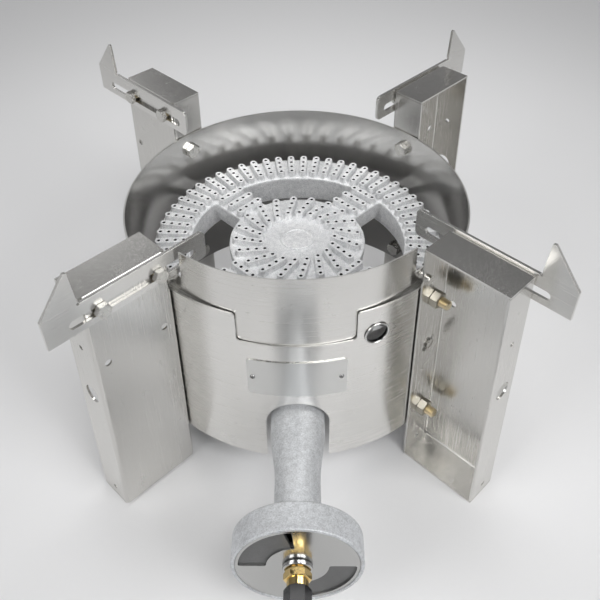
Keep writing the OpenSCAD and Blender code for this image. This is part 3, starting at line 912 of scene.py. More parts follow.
def outline(name: str, points: Sequence[Vector], closed: bool = False) -> Bench:
    """Draws a line of points one by one.

    Args:
        name: Name of the piece.
        points: The points in order.
        closed: Whether the last joins the first.

    Returns:
        The bench with the whole line picked.
    """
    bench = Bench(name, bpy.ops.mesh.primitive_plane_add, size=MM, location=tuple(points[0]))
    bpy.ops.mesh.merge(type="CENTER")
    bench.draw([*points, points[0]] if closed else points)
    bench.everything()
    bpy.ops.mesh.remove_doubles(threshold=0.000001)
    return bench


def block(name: str, size: Sequence[float], at: Sequence[float]) -> Bench:
    """Starts a piece from a box.

    Args:
        name: Name of the piece.
        size: Its size along each axis, in millimetres.
        at: Its middle, in millimetres.

    Returns:
        The bench.
    """
    return Bench(name, bpy.ops.mesh.primitive_cube_add, size=1.0,
                 location=[v * MM for v in at], scale=[v * MM for v in size])


def rod(
    name: str, radius: float, long: float, at: Sequence[float] = (0.0, 0.0, 0.0),
    sides: int = 48,
) -> Bench:
    """Starts a piece from an upright prism with so many sides that it is nearly round.

    Args:
        name: Name of the piece.
        radius: Radius over its corners, in millimetres.
        long: Its length, in millimetres.
        at: Its middle, in millimetres.
        sides: Number of its sides.

    Returns:
        The bench.
    """
    return Bench(name, bpy.ops.mesh.primitive_cylinder_add, vertices=sides, radius=radius * MM,
                 depth=long * MM, location=[v * MM for v in at])


def profile(name: str, line: Line, closed: bool = False) -> Bench:
    """Draws a line of radii and heights in millimetres, ready to be spun about Z."""
    return outline(name, [Vector((r, 0.0, z)) * MM for r, z in line], closed)


def rounded(corner: Sequence[float], radius: Sequence[float], up_first: bool) -> Line:
    """Rounds a corner of a profile.

    Args:
        corner: The sharp corner.
        radius: The radius along each axis, signed from the corner to the circle's middle.
        up_first: Whether the profile comes to the corner along its second axis.

    Returns:
        The points of the quarter circle.
    """
    (x, y), (dx, dy) = corner, radius
    shares = [(1 - math.cos(a), 1 - math.sin(a)) for a in QUARTER]
    return [(x + dx * (one if up_first else two), y + dy * (two if up_first else one))
            for one, two in shares]


def near(value: float, target: float, give: float = 0.3 * MM) -> bool:
    """Whether two lengths are the same within a small give."""
    return abs(value - target) < give


def settle(piece: bpy.types.Object, finish: bpy.types.Material, body: str, slot: str,
           *nodes: str) -> bpy.types.Object:
    """Gives a piece its finish and its place in the frame.

    Args:
        piece: The piece.
        finish: Its material, unless it has its own already.
        body: The body that it rides on.
        slot: Not used.
        nodes: The nodes that it stands for.

    Returns:
        The piece.
    """
    if not piece.data.materials:
        piece.data.materials.append(finish)
    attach(piece, body)
    if nodes:
        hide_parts(*nodes)
    LOG.info("%s: %d faces", piece.name, len(piece.data.polygons))
    return piece


@dataclass(frozen=True)
class Legs:
    """Where the four legs stand round the ring, in millimetres and degrees."""

    out: float = 169.3
    turns: tuple[float, ...] = (225.0, 315.0, 45.0, 135.0)
    names: tuple[str, ...] = ("front_left", "front_right", "back_right", "back_left")

    def lay(self, bench: Bench, turn: float, out: float, side: float, up: float) -> Bench:
        """Moves a whole piece from the origin to its place on a leg.

        Args:
            bench: The piece, modelled with +X outwards, +Y towards the web and +Z up.
            turn: Angle of the leg.
            out: Distance outwards from the inner flange.
            side: Distance towards the web.
            up: Height.

        Returns:
            The bench.
        """
        bench.everything().move(((self.out + out) * MM, side * MM, up * MM))
        return bench.turn(math.radians(turn), "Z")


@dataclass(frozen=True)
class BurnerHead:
    """Cast burner head: ring, arms and hub with round-ended ribs full of ports.

    Sizes are in millimetres and angles in degrees. rib_full, port_rim, port_wall and arm_first
    are shares of the rib's width, the port's width and the step between two ribs of an arm.
    """

    outer: float = 147.0
    band: float = 38.0
    hub: float = 70.0
    top: float = 180.3
    foot: float = 142.0
    arm: float = 37.0
    draft: float = 3.0
    rib_high: float = 6.5
    rib_wide: float = 8.2
    rib_end: float = 4.2
    port: float = 3.2
    ring_ribs: int = 60
    hub_ribs: int = 20
    hub_port: float = 62.0
    swirl: float = 18.0
    hub_turn: float = 3.5
    pitch: float = 8.5
    arm_pitch: float = 8.4
    arm_step: float = 14.6
    ring_in: float = 167.5
    voxel: float = 1.75
    steps: int = 144
    smoothing: int = 5
    smooth: float = 38.0
    arms: tuple[float, ...] = (45.0, 135.0, 225.0, 315.0)
    rib_sunk: float = 1.0
    rib_full: float = 0.497
    rib_waist: float = 1.4
    rib_flare: float = 2.0
    rib_taper: float = 0.6
    rib_round: float = 0.5
    port_deep: float = 6.0
    port_round: float = 0.4
    port_rim: float = 0.55
    port_wall: float = 0.52
    arm_first: float = 0.2
    rib_in: float = 6.0
    arm_rise: float = 8.0
    arm_lap: float = 12.0
    lug: tuple[float, float] = (18.0, 12.0)
    lug_up: float = 149.0
    lug_gap: float = 0.6
    pad: float = 17.0
    pad_high: float = 3.0
    pad_up: float = 0.5
    pad_round: float = 0.9
    pad_rim: float = 2.2
    pad_groove: float = 0.5

    @property
    def deck(self) -> float:
        """Height of the deck between the ribs."""
        return self.top - self.rib_high

    def rib(
        self, pitch: float, finish: bpy.types.Material, bore: bpy.types.Material
    ) -> Bench:
        """Models one rib along +X from the origin, with its foot at the deck.

        Args:
            pitch: Distance between its ports.
            finish: Its material.
            bore: Material of the insides of its ports, near-black painted shade.

        Returns:
            The rib on the bench.
        """
        long = 3 * pitch + 2 * self.rib_end
        high = self.rib_high + self.rib_sunk
        top = self.rib_high * MM
        ports = [(self.rib_end + k * pitch) * MM for k in range(4)]

        def by_port(at: Vector, share: float) -> bool:
            """Whether a point lies within a share of a port's width of the middle of one."""
            return min(math.hypot(at.x - x, at.y) for x in ports) < share * self.port * MM

        bench = block("rib", (long, self.rib_wide, high),
                      (long / 2, 0.0, (self.rib_high - self.rib_sunk) / 2))
        bench.pick(Pick.EDGES, lambda at, way: abs(way.z) > ALONG)
        bench.bevel(self.rib_full * self.rib_wide * MM, 6).clean(TIGHT)
        bpy.ops.mesh.bisect(plane_co=(0.0, 0.0, self.rib_waist * MM), plane_no=(0.0, 0.0, 1.0))
        middle = (long / 2 * MM, 0.0, 0.0)
        bench.pick(Pick.POINTS, lambda at, way: at.z < 0.0)
        flare, taper = self.rib_flare, self.rib_taper
        bench.scale((1.0 + flare / long, 1.0 + flare / self.rib_wide, 1.0), middle)
        bench.pick(Pick.POINTS, lambda at, way: near(at.z, top))
        bench.scale((1.0 - taper / long, 1.0 - taper / self.rib_wide, 1.0), middle)
        bench.pick(Pick.EDGES, lambda at, way: near(at.z, top))
        bench.bevel(self.rib_round * MM, 2)
        drill = rod("drill", self.port / 2, high,
                    (self.rib_end, 0.0, self.rib_high + high / 2 - self.port_deep), 12)
        for _ in range(3):
            bpy.ops.mesh.duplicate_move(TRANSFORM_OT_translate={"value": (pitch * MM, 0.0, 0.0)})
        bench.cut(drill.close())
        bench.pick(Pick.EDGES, lambda at, way: near(at.z, top, TIGHT)
                   and by_port(at, self.port_rim))
        bench.bevel(self.port_round * MM, 1)
        bench.piece.data.materials.append(finish)
        bench.piece.data.materials.append(bore)
        # The port walls take the bore material: near-black painted shade.
        bench.pick(Pick.FACES, lambda at, way: at.z < top - MM
                   and by_port(at, self.port_wall))
        bench.piece.active_material_index = 1
        bpy.ops.object.material_slot_assign()
        return bench

    def shell(self) -> bpy.types.Object:
        """Models the ring, the hub, the arms and the lugs as one casting with soft corners.

        Returns:
            The casting.
        """
        inner = self.outer - self.band
        parts = []
        for name, one, two in (("ring", inner, self.outer), ("hub", 0.0, self.hub)):
            slope = self.draft if one else 0.0
            drawn = [(one, self.deck), (two, self.deck), (two - self.draft, self.foot),
                     (one + slope, self.foot)]
            parts.append(profile(name, drawn, bool(one)).spin(self.steps).clean().close())
        high = self.deck - self.foot - self.arm_rise
        for turn in self.arms:
            long = inner - self.hub + 2 * self.arm_lap
            bench = block("arm", (long, self.arm, high),
                          (self.hub - self.arm_lap + long / 2, 0.0, self.deck - high / 2 - 0.02))
            bench.pick(Pick.POINTS, lambda at, way: at.z < (self.deck - high / 2) * MM)
            bench.scale((1.0, 1.0 - 2 * self.draft / self.arm, 1.0))
            parts.append(bench.everything().turn(math.radians(turn), "Z").close())
            long = self.ring_in - self.outer + self.arm_lap
            bench = block("lug", (long, *self.lug),
                          (self.ring_in - long / 2 - self.lug_gap, 0.0, self.lug_up))
            parts.append(bench.turn(math.radians(turn), "Z").close())
        bench = Bench.of(join("casting", parts))
        bench.with_modifier("REMESH", mode="VOXEL", voxel_size=self.voxel * MM)
        bench.with_modifier("SMOOTH", factor=0.5, iterations=self.smoothing)
        return bench.close()

    def round_ribs(
        self, finish: bpy.types.Material, bore: bpy.types.Material
    ) -> list[bpy.types.Object]:
        """Models the swirled ribs of the hub and the straight ones of the ring.

        Args:
            finish: Their material.
            bore: Material of the insides of their ports, near-black painted shade.

        Returns:
            The ribs of the hub and those of the ring.
        """
        long = 3 * self.pitch + 2 * self.rib_end
        ring = self.rib(self.pitch, finish, bore)
        hub = ring.copy("hub_rib")
        hub_x = math.sqrt(self.hub_port**2 - self.swirl**2) + self.rib_end - long
        hub.move((hub_x * MM, self.swirl * MM, self.deck * MM))
        hub.turn(math.radians(self.hub_turn) - math.asin(self.swirl / self.hub_port), "Z")
        hub.repeat(self.hub_ribs).close()
        ring.open()
        ring.move(((self.outer - self.rib_in + self.rib_end - long) * MM, 0.0, self.deck * MM))
        ring.turn(math.pi / self.ring_ribs, "Z").repeat(self.ring_ribs)
        return [hub.piece, ring.close()]

    def arm_ribs(
        self, finish: bpy.types.Material, bore: bpy.types.Material
    ) -> bpy.types.Object:
        """Models the three ribs across each arm.

        Args:
            finish: Their material.
            bore: Material of the insides of their ports, near-black painted shade.

        Returns:
            All of them as one piece.
        """
        long = 3 * self.arm_pitch + 2 * self.rib_end
        arm = self.rib(self.arm_pitch, finish, bore).everything().turn(math.pi / 2, "Z")
        first = self.outer - self.band - self.rib_wide / 2 - self.arm_first * self.arm_step
        arm.move((first * MM, -long / 2 * MM, self.deck * MM))
        for _ in range(2):
            bpy.ops.mesh.duplicate_move(
                TRANSFORM_OT_translate={"value": (-self.arm_step * MM, 0.0, 0.0)}
            )
        return arm.everything().turn(math.pi / 4, "Z").repeat(4).close()

    def boss(self, finish: bpy.types.Material) -> bpy.types.Object:
        """Models the round boss in the middle of the hub, with its groove.

        Args:
            finish: Its material.

        Returns:
            The boss.
        """
        middle = self.deck + self.pad_up
        pad = rod("pad", self.pad, self.pad_high, (0.0, 0.0, middle), 64)
        pad.pick(Pick.EDGES, lambda at, way: near(at.z, (middle + self.pad_high / 2) * MM))
        pad.bevel(self.pad_round * MM, 3)
        pad.pick(Pick.FACES, lambda at, way: way.z > ALONG and math.hypot(at.x, at.y) < 5 * MM)
        pad.inset(self.pad_rim * MM).inset(self.pad_groove * MM, -self.pad_groove * MM)
        pad.piece.data.materials.append(finish)
        return pad.close()

    def build(self, finish: bpy.types.Material, bore: bpy.types.Material) -> None:
        """Builds the head.

        Args:
            finish: Its material.
            bore: Material of the insides of its ports, near-black painted shade.
        """
        shell = self.shell()
        shell.data.materials.append(finish)
        parts = [shell, *self.round_ribs(finish, bore), self.arm_ribs(finish, bore),
                 self.boss(finish)]
        piece = join("burner_head_casting", parts)
        shade(piece, self.smooth)
        settle(piece, finish, "stand", "head_casting", "burner_head")


@dataclass(frozen=True)
class Venturi:
    """Cast venturi: flange, elbow, waisted tube and air cup with its web.

    Sizes are in millimetres and angles in degrees, and ear_full is a share of an ear's width.
    The places along the tube are measured from the middle of the burner towards the gas hose.
    """

    axis_up: float = 93.0
    neck_up: float = 133.0
    elbow: float = 40.0
    tube: float = 24.8
    bore: float = 19.8
    full: float = 175.0
    waist: float = 230.0
    cup_back: float = 280.0
    cup: float = 53.0
    wall: float = 3.2
    reach: float = 305.0
    seat: float = 302.5
    web: float = 4.0
    stem: float = 6.5
    air_in: float = 25.0
    air_out: float = 47.0
    air_angle: float = 84.0
    web_turn: float = 65.0
    flange: float = 8.0
    ear_out: float = 45.35
    ear_wide: float = 16.7
    barrel: float = 30.8
    steps: int = 96
    elbow_steps: int = 14
    smooth: float = 40.0
    rim: float = 1.0
    over: float = 2.0
    ear_full: float = 0.498
    flange_round: float = 1.1
    shoulder: float = 5.5
    brim: float = 2.6
    air_round: float = 2.2
    seam_high: float = 0.35
    seam_deep: float = 1.5
    seam_wide: float = 1.0

    def at(self, radius: float, along: float, turn: float = 90.0) -> Vector:
        """A point round the tube's axis.

        Args:
            radius: Distance from the axis.
            along: Distance from the middle of the burner towards the gas hose.
            turn: Angle from +X towards the top.

        Returns:
            The point in metres.
        """
        a = math.radians(turn)
        return Vector((radius * math.cos(a), -along, self.axis_up + radius * math.sin(a))) * MM

    def skin(self) -> Line:
        """The outer line of tube and cup, from the elbow to the rim.

        Returns:
            Distances from the axis and along it.
        """
        line = [(self.tube, self.elbow)]
        for step in range(13):
            t = step / 12
            ease = t * t * (3 - 2 * t)
            line.append((self.tube + (self.bore - self.tube) * ease,
                         self.full + t * (self.waist - self.full)))
        line += rounded((self.bore, self.cup_back), (self.shoulder, -self.shoulder), True)
        line += rounded((self.cup, self.cup_back), (-self.brim, self.brim), False)
        rim = self.rim
        line += [(self.cup, self.reach - rim), (self.cup - 0.35 * rim, self.reach - 0.3 * rim),
                 (self.cup - rim, self.reach)]
        return line

    def barrel_piece(self) -> bpy.types.Object:
        """Models the tube with its cup, and bends the elbow up from its end.

        Returns:
            The piece.
        """
        inner = self.cup - self.wall
        chamber = inner - self.web / 2
        line = self.skin() + [
            (inner + 0.5, self.reach), (inner, self.reach - 0.5), (inner, self.seat),
            (self.stem, self.seat), (self.stem, self.seat - self.web),
            (chamber, self.seat - self.web), (chamber, self.cup_back + self.web),
            (self.bore - self.web, self.cup_back + self.web),
            (self.bore - self.web, self.waist), (self.bore, self.full), (self.bore, self.elbow),
        ]
        bench = outline("tube_and_cup", [self.at(r, y) for r, y in line], closed=True)
        centre = (0.0, 0.0, self.axis_up * MM)
        bench.spin(self.steps, axis=(0.0, 1.0, 0.0), centre=centre).clean()
        for half in (0.0, 180.0):
            bench.cut(self.kidney(self.web_turn + half))
        end = -self.elbow * MM
        bench.pick(Pick.FACES, lambda at, way: near(at.y, end) and abs(way.y) > ALONG)
        bpy.ops.mesh.delete(type="ONLY_FACE")
        bench.pick(Pick.EDGES, lambda at, way: near(at.y, end, TIGHT) and abs(way.y) < ACROSS)
        centre = (0.0, end, self.neck_up * MM)
        bench.spin(self.elbow_steps, math.pi / 2, (1.0, 0.0, 0.0), centre)
        bench.clean()
        return bench.close()

    def kidney(self, turn: float) -> bpy.types.Object:
        """Models the plug that cuts one air opening in the web.

        Args:
            turn: Angle of its middle.

        Returns:
            The plug.
        """
        steps, corner = 18, self.air_round
        line = []
        for radius, back, sign in ((self.air_out, False, -1), (self.air_in, True, 1)):
            lean = math.degrees(math.asin(corner / (radius + sign * corner)))
            spread = self.air_angle / 2 - lean
            bow = [turn - spread + 2 * spread * k / steps for k in range(steps + 1)]
            line += [(radius, a) for a in (reversed(bow) if back else bow)]
        front = self.seat + self.over
        bench = outline("kidney", [self.at(r, front, a) for r, a in line], closed=True)
        bpy.ops.mesh.edge_face_add()
        bench.extrude((0.0, (self.web + 2 * self.over) * MM, 0.0)).clean()
        return bench.close()

    def flange_piece(self) -> bpy.types.Object:
        """Models the flange with its two ears.

        Returns:
            The piece.
        """
        middle = (0.0, 0.0, self.neck_up + self.flange / 2)
        bench = rod("flange", self.barrel, self.flange, middle, 72)
        ears = block("ears", (2 * self.ear_out, self.ear_wide, self.flange), middle)
        ears.pick(Pick.EDGES, lambda at, way: abs(way.z) > ALONG)
        ears.bevel(self.ear_full * self.ear_wide * MM, 10)
        bench.cut(ears.close(), "UNION")
        bench.with_modifier("BEVEL", width=self.flange_round * MM, segments=3,
                            limit_method="ANGLE", angle_limit=math.radians(self.smooth))
        return bench.close()

    def seam_piece(self) -> bpy.types.Object:
        """Models the ridge that the two halves of the mould leave along the top.

        Returns:
            The piece.
        """
        line = [(r, y) for r, y in self.skin() if y < self.reach - 0.9]
        top = [(r + self.seam_high, y) for r, y in line]
        low = [(r - self.seam_deep, y) for r, y in reversed(line)]
        bench = outline("seam", [self.at(r, y) for r, y in top + low], closed=True)
        bpy.ops.mesh.edge_face_add()
        bench.everything().move((-self.seam_wide / 2 * MM, 0.0, 0.0))
        bench.extrude((self.seam_wide * MM, 0.0, 0.0)).clean()
        return bench.close()

    def build(self, finish: bpy.types.Material) -> None:
        """Builds the venturi.

        Args:
            finish: Its material.
        """
        parts = [self.barrel_piece(), self.flange_piece(), self.seam_piece()]
        piece = join("venturi_casting_piece", parts)
        shade(piece, self.smooth)
        settle(piece, finish, "stand", "venturi_casting", "venturi")


@dataclass(frozen=True)
class Hexagon:
    """Hexagon bolts and nuts of one size, with turned corners and a thread.

    Sizes are in millimetres. crown and washer are shares of the width over the flats, root and
    crest are shares of the pitch, and dish is the hollow of a head: its rim, slope and depth.
    """

    shank: float
    flats: float
    head: float
    nut: float
    pitch: float
    steps: int = 28
    crown: float = 0.475
    tip: float = 0.4
    root: float = 0.6
    seat: float = 0.35
    dish: tuple[float, float, float] = (0.9, 0.35, 0.15)
    crest: tuple[float, float, float] = (0.4, 0.5, 0.9)
    crest_in: float = 0.05
    washer: float = 0.47
    sunk: float = 0.2
    collar: float = 0.5
    play: float = 0.02
    nut_round: float = 0.45

    @property
    def corner(self) -> float:
        """Radius over the corners."""
        return self.flats / math.sqrt(3.0)

    def prism(self, low: float, high: float, both: bool) -> Bench:
        """Models a hexagon whose corners are turned off, one of them along +X.

        Args:
            low: Its lower end.
            high: Its upper end.
            both: Whether the lower corners are turned off too.

        Returns:
            The bench.
        """
        deep = high - low
        bench = rod("hexagon", self.corner, deep, (0.0, 0.0, (low + high) / 2), 6)
        bench.turn(math.pi / 2, "Z")
        for up in ((True, False) if both else (True,)):
            small = self.crown * self.flats
            big = small + deep * math.sqrt(3.0)
            cone = Bench("cone", bpy.ops.mesh.primitive_cone_add, vertices=48,
                         radius1=(big if up else small) * MM, radius2=(small if up else big) * MM,
                         depth=deep * MM, location=(0.0, 0.0, (low + high) / 2 * MM))
            bench.cut(cone.close(), "INTERSECT")
        return bench.clean(0.002 * MM)

    def thread(self, low: float, high: float, plain: float) -> Bench:
        """Models a shank with a rolled thread and a turned point, from the top down.

        Args:
            low: Its lower end.
            high: Its upper end.
            plain: Height down to which it has no thread.

        Returns:
            The bench.
        """
        out, tip = self.shank / 2, self.tip
        root, crest = out - self.root * self.pitch, out - self.crest_in
        rise, flat, fall = (share * self.pitch for share in self.crest)
        line = [(0.0, low), (root - tip, low), (root, low + tip)]
        up = low + tip + self.pitch / 4
        while up + self.pitch < plain:
            line += [(crest, up + rise), (crest, up + flat), (root, up + fall)]
            up += self.pitch
        line += [(out, up + flat), (out, high)]
        return profile("thread", line).spin(self.steps).clean()

    def bolt(
        self, long: float, plain: float, skin: bpy.types.Material, point: bpy.types.Material
    ) -> bpy.types.Object:
        """Models a bolt along Z, its head on z = 0.

        Args:
            long: Length under the head.
            plain: Length without thread.
            skin: Material of the head.
            point: Material of the shank, whose plating has gone yellow.

        Returns:
            The bolt.
        """
        rim, step, deep = self.dish
        head = self.prism(self.seat, self.head, False)
        washer = rod("washer", self.washer * self.flats, self.collar,
                     (0.0, 0.0, self.collar / 2), 40)
        head.open()
        head.pick(Pick.FACES, lambda at, way: way.z > ALONG)
        head.inset(rim * MM).inset(step * MM, -deep * MM)
        shank = self.thread(-long, self.sunk, -plain).close()
        for part, finish in ((head.close(), skin), (washer.close(), skin), (shank, point)):
            part.data.materials.append(finish)
        return join("bolt", [head.piece, washer.piece, shank])

    def nut_piece(self) -> bpy.types.Object:
        """Models a nut along Z, standing on z = 0.

        Returns:
            The nut.
        """
        bench = self.prism(0.0, self.nut, True)
        rim = self.shank / 2 + self.play
        bench.cut(rod("hole", rim, 3 * self.nut, sides=self.steps).close())
        for end in (0.0, self.nut):
            bench.pick(Pick.EDGES, lambda at, way: near(at.z, end * MM, TIGHT)
                       and near(math.hypot(at.x, at.y), rim * MM, 2 * TIGHT))
            bench.bevel(self.nut_round * MM, 1)
        return bench.close()


@dataclass(frozen=True)
class Fasteners:
    """Bolts and nuts of the four legs and their brackets.

    Sizes are in millimetres. What ends in _out is measured from the inner flange of a leg, what
    ends in _up from the floor, and the seats and ends lie along each bolt.
    """

    legs: Legs = Legs()
    leg: Hexagon = Hexagon(9.5, 14.3, 6.08, 8.17, 1.5)
    small: Hexagon = Hexagon(7.9, 12.7, 5.2, 6.7, 1.25)
    leg_up: tuple[float, float] = (61.5, 207.0)
    leg_seat: float = -2.0
    leg_end: float = 19.07
    leg_plate: float = 1.9
    bar_out: tuple[float, float] = (12.0, 68.0)
    bar_up: float = 256.3
    bar_seat: float = 21.9
    bar_end: float = 7.9
    nut_seat: float = 16.6
    smooth: float = 28.0
    leg_plain: float = 9.0
    bar_plain: float = 6.0

    def spread(
        self, name: str, piece: bpy.types.Object, turn: tuple[float, str],
        spots: Iterable[Spot], finish: bpy.types.Material, slot: str, node: str,
    ) -> None:
        """Copies one fastener to every leg, each copy with its own mesh.

        Args:
            name: Name of the row of copies.
            piece: The fastener, standing on the origin.
            turn: Angle and axis that lay it as it lies on a leg along +X.
            spots: Places on one leg.
            finish: Its material.
            slot: The record's slot.
            node: The node that the copies stand for.
        """
        first = Bench.of(piece).turn(*turn)
        made = []
        for leg in self.legs.turns:
            for spot in spots:
                made.append(self.legs.lay(first.copy(name), leg, *spot).close())
        bpy.data.objects.remove(piece)
        whole = join(name, made)
        shade(whole, self.smooth)
        settle(whole, finish, "stand", slot, node)

    def build(
        self, bolt: bpy.types.Material, point: bpy.types.Material, nut: bpy.types.Material
    ) -> None:
        """Builds all bolts and nuts.

        Args:
            bolt: Material of the heads of the bolts.
            point: Material of their shanks.
            nut: Material of the nuts.
        """
        right = math.pi / 2
        piece = self.leg.bolt(self.leg_end - self.leg_seat, self.leg_plain, bolt, point)
        spots = [(self.leg_seat, 0.0, up) for up in self.leg_up]
        self.spread("leg_bolt_set", piece, (-right, "Y"), spots, bolt, "zinc_bolt", "leg_bolts")
        spots = [(self.leg_plate, 0.0, up) for up in self.leg_up]
        self.spread("leg_nut_set", self.leg.nut_piece(), (right, "Y"), spots, nut,
                    "zinc_nut", "leg_nuts")
        piece = self.small.bolt(self.bar_seat - self.bar_end, self.bar_plain, bolt, point)
        spots = [(out, self.bar_seat, self.bar_up) for out in self.bar_out]
        self.spread("bracket_bolt_set", piece, (-right, "X"), spots, bolt,
                    "zinc_bolt", "bracket_bolts")
        spots = [(out, self.nut_seat, self.bar_up) for out in self.bar_out]
        self.spread("bracket_nut_set", self.small.nut_piece(), (right, "X"), spots, nut,
                    "zinc_nut", "bracket_nuts")


@dataclass(frozen=True)
class Inlet:
    """Lock nut, brass fitting and black coupling at the end of the venturi.

    Sizes are in millimetres and angles in degrees. fitting_step and fitting_nose are shares of
    the fitting's length and of its width over the flats.
    """

    axis_up: float = 93.0
    stem: float = 6.5
    stem_foot: float = 290.5
    nut_seat: float = 304.7
    nut_out: float = 12.2
    nut_long: float = 4.0
    nut_round: tuple[float, float] = (1.1, 1.3)
    nut_face: tuple[float, float] = (3.2, 3.5)
    nut_dish: float = 0.3
    nut_bore: tuple[float, float] = (0.05, 0.9)
    nut_steps: int = 72
    nut_smooth: float = 40.0
    smooth: float = 30.0
    mouth_round: float = 0.8
    fitting_flats: float = 19.5
    fitting_long: float = 14.0
    fitting_foot: float = 0.8
    fitting_step: float = 0.55
    fitting_nose: float = 0.46
    fitting_round: float = 0.5
    fitting_turned: float = 0.985
    coupling_flats: float = 19.0
    coupling_long: float = 26.0
    mouth: float = 6.6
    mouth_deep: float = 15.0

    def lay(self, bench: Bench, along: float) -> Bench:
        """Moves a whole piece, modelled up from the origin, to its place on the tube's axis."""
        bench.everything().turn(math.pi / 2, "X")
        return bench.move((0.0, -along * MM, self.axis_up * MM))

    def nut(self, finish: bpy.types.Material) -> None:
        """Builds the round nut with its raised edge.

        Args:
            finish: Its material.
        """
        out, long, low, high = self.nut_out, self.nut_long, *self.nut_round
        play, lead = self.nut_bore
        face, step = self.nut_face
        line = [(self.stem + play, 0.0), *rounded((out, 0.0), (-low, low), False),
                *rounded((out, long), (-high, -high), True), (out - face, long),
                (out - step, long - self.nut_dish), (self.stem + 1.0, long - self.nut_dish),
                (self.stem + play, long - lead)]
        bench = profile("lock_nut_piece", line, closed=True)
        bench.spin(self.nut_steps).clean()
        self.lay(bench, self.nut_seat)
        settle(bench.finish(self.nut_smooth), finish, "stand", "dull_steel", "lock_nut")

    def fitting(self, finish: bpy.types.Material) -> None:
        """Builds the brass fitting: a threaded stem and a hexagon with a turned neck.

        Args:
            finish: Its material.
        """
        hexagon = Hexagon(2 * self.stem, self.fitting_flats, 0.0, 0.0, 1.0)
        foot = self.stem_foot - self.nut_seat - self.nut_long
        stem = hexagon.thread(foot, 0.3, -1.0).close()
        high, step = self.fitting_long, self.fitting_step * self.fitting_long
        body = hexagon.prism(self.fitting_foot, step, True)
        nose = self.fitting_nose * self.fitting_flats * MM
        turned = self.fitting_turned
        body.pick(Pick.FACES, lambda at, way: way.z > ALONG and at.z > 0.5 * step * MM)
        body.inset(self.fitting_round * MM).scale((turned, turned, 1.0))
        body.extrude((0.0, 0.0, (high - step) * MM))
        body.pick(Pick.FACES, lambda at, way: way.z < -ALONG and at.z < 0.5 * step * MM)
        body.inset(0.9 * MM).extrude((0.0, 0.0, -self.fitting_foot * MM))
        body.pick(Pick.EDGES, lambda at, way: abs(way.z) < ACROSS
                  and (near(at.z, high * MM, TIGHT) or near(at.z, 0.0, TIGHT))
                  and math.hypot(at.x, at.y) > 0.5 * nose)
        body.bevel(self.fitting_round * MM, 3)
        piece = join("orifice_fitting_piece", [body.close(), stem])
        bench = Bench.of(piece)
        self.lay(bench, self.nut_seat + self.nut_long)
        settle(bench.finish(self.smooth), finish, "stand", "brass", "orifice_fitting")

    def coupling(self, finish: bpy.types.Material) -> None:
        """Builds the black coupling with its mouth.

        Args:
            finish: Its material.
        """
        hexagon = Hexagon(2 * self.stem, self.coupling_flats, 0.0, 0.0, 1.0)
        body = hexagon.prism(0.0, self.coupling_long, True)
        bore = rod("mouth", self.mouth, 2 * self.mouth_deep, (0.0, 0.0, self.coupling_long))
        body.cut(bore.close())
        body.pick(Pick.EDGES, lambda at, way: near(at.z, self.coupling_long * MM, TIGHT)
                  and near(math.hypot(at.x, at.y), self.mouth * MM, 0.2 * MM))
        body.bevel(self.mouth_round * MM, 2)
        start = self.nut_seat + self.nut_long + self.fitting_long
        self.lay(body, start)
        body.piece.name = "inlet_coupling_piece"
        settle(body.finish(self.smooth), finish, "stand", "black_fitting", "inlet_coupling")

    def build(
        self, steel: bpy.types.Material, brass: bpy.types.Material, black: bpy.types.Material
    ) -> None:
        """Builds the three pieces.

        Args:
            steel: Material of the lock nut.
            brass: Material of the fitting.
            black: Material of the coupling.
        """
        self.nut(steel)
        self.fitting(brass)
        self.coupling(black)


@dataclass(frozen=True)
class SheetWork:
    """Sheet parts that keep the shape of their solids and get worked edges.

    Sizes are in millimetres and angles in degrees. corner is half the width, the height and the
    radius of a notch.
    """

    edge: bpy.types.Material | None = None
    corner: tuple[float, float, float] | None = None
    round: float = 0.2
    steps: int = 2
    bend: float = 0.6
    smooth: float = 30.0
    sharp: float = 32.0

    def work(
        self, node: str, name: str, finish: bpy.types.Material, body: str, slot: str
    ) -> bpy.types.Object:
        """Copies a solid, merges it, clears its flat faces and rounds its edges.

        Args:
            node: Node of the frame.
            name: Name of the piece.
            finish: Its material.
            body: The body that it rides on.
            slot: The record's slot of its finish.

        Returns:
            The piece.
        """
        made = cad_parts[node].copy()
        made.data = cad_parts[node].data.copy()
        made.parent = None
        made.matrix_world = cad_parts[node].matrix_world.copy()
        bpy.context.scene.collection.objects.link(made)
        made.name = name
        alone(made)
        bpy.ops.object.transform_apply(location=True, rotation=True, scale=True)
        made.data.materials.clear()
        made.data.materials.append(finish)
        if self.edge:
            made.data.materials.append(self.edge)
        bench = Bench.of(made)
        bench.clean()
        bpy.ops.mesh.dissolve_limited(angle_limit=math.radians(self.bend))
        if self.corner:
            side, up, radius = self.corner
            bench.pick(Pick.EDGES, lambda at, way: abs(way.z) < ACROSS and at.y < 0.0
                       and near(abs(at.x), side * MM, 1.5 * MM) and near(at.z, up * MM, MM)
                       and abs(way.x * at.x + way.y * at.y) > ALONG * math.hypot(at.x, at.y))
            bench.bevel(radius * MM, 4)
        bench.with_modifier("BEVEL", width=self.round * MM, segments=self.steps,
                            limit_method="ANGLE", angle_limit=math.radians(self.sharp),
                            use_clamp_overlap=True)
        # Faces that face up or down take the edge material; on the ring and the shield that is a
        # duller cut edge, darkened partly as painted shade.
        if self.edge:
            bench.pick(Pick.FACES, lambda at, way: abs(way.z) > 0.5)
            made.active_material_index = 1
            bpy.ops.object.material_slot_assign()
        return settle(bench.finish(self.smooth), finish, body, slot, node)


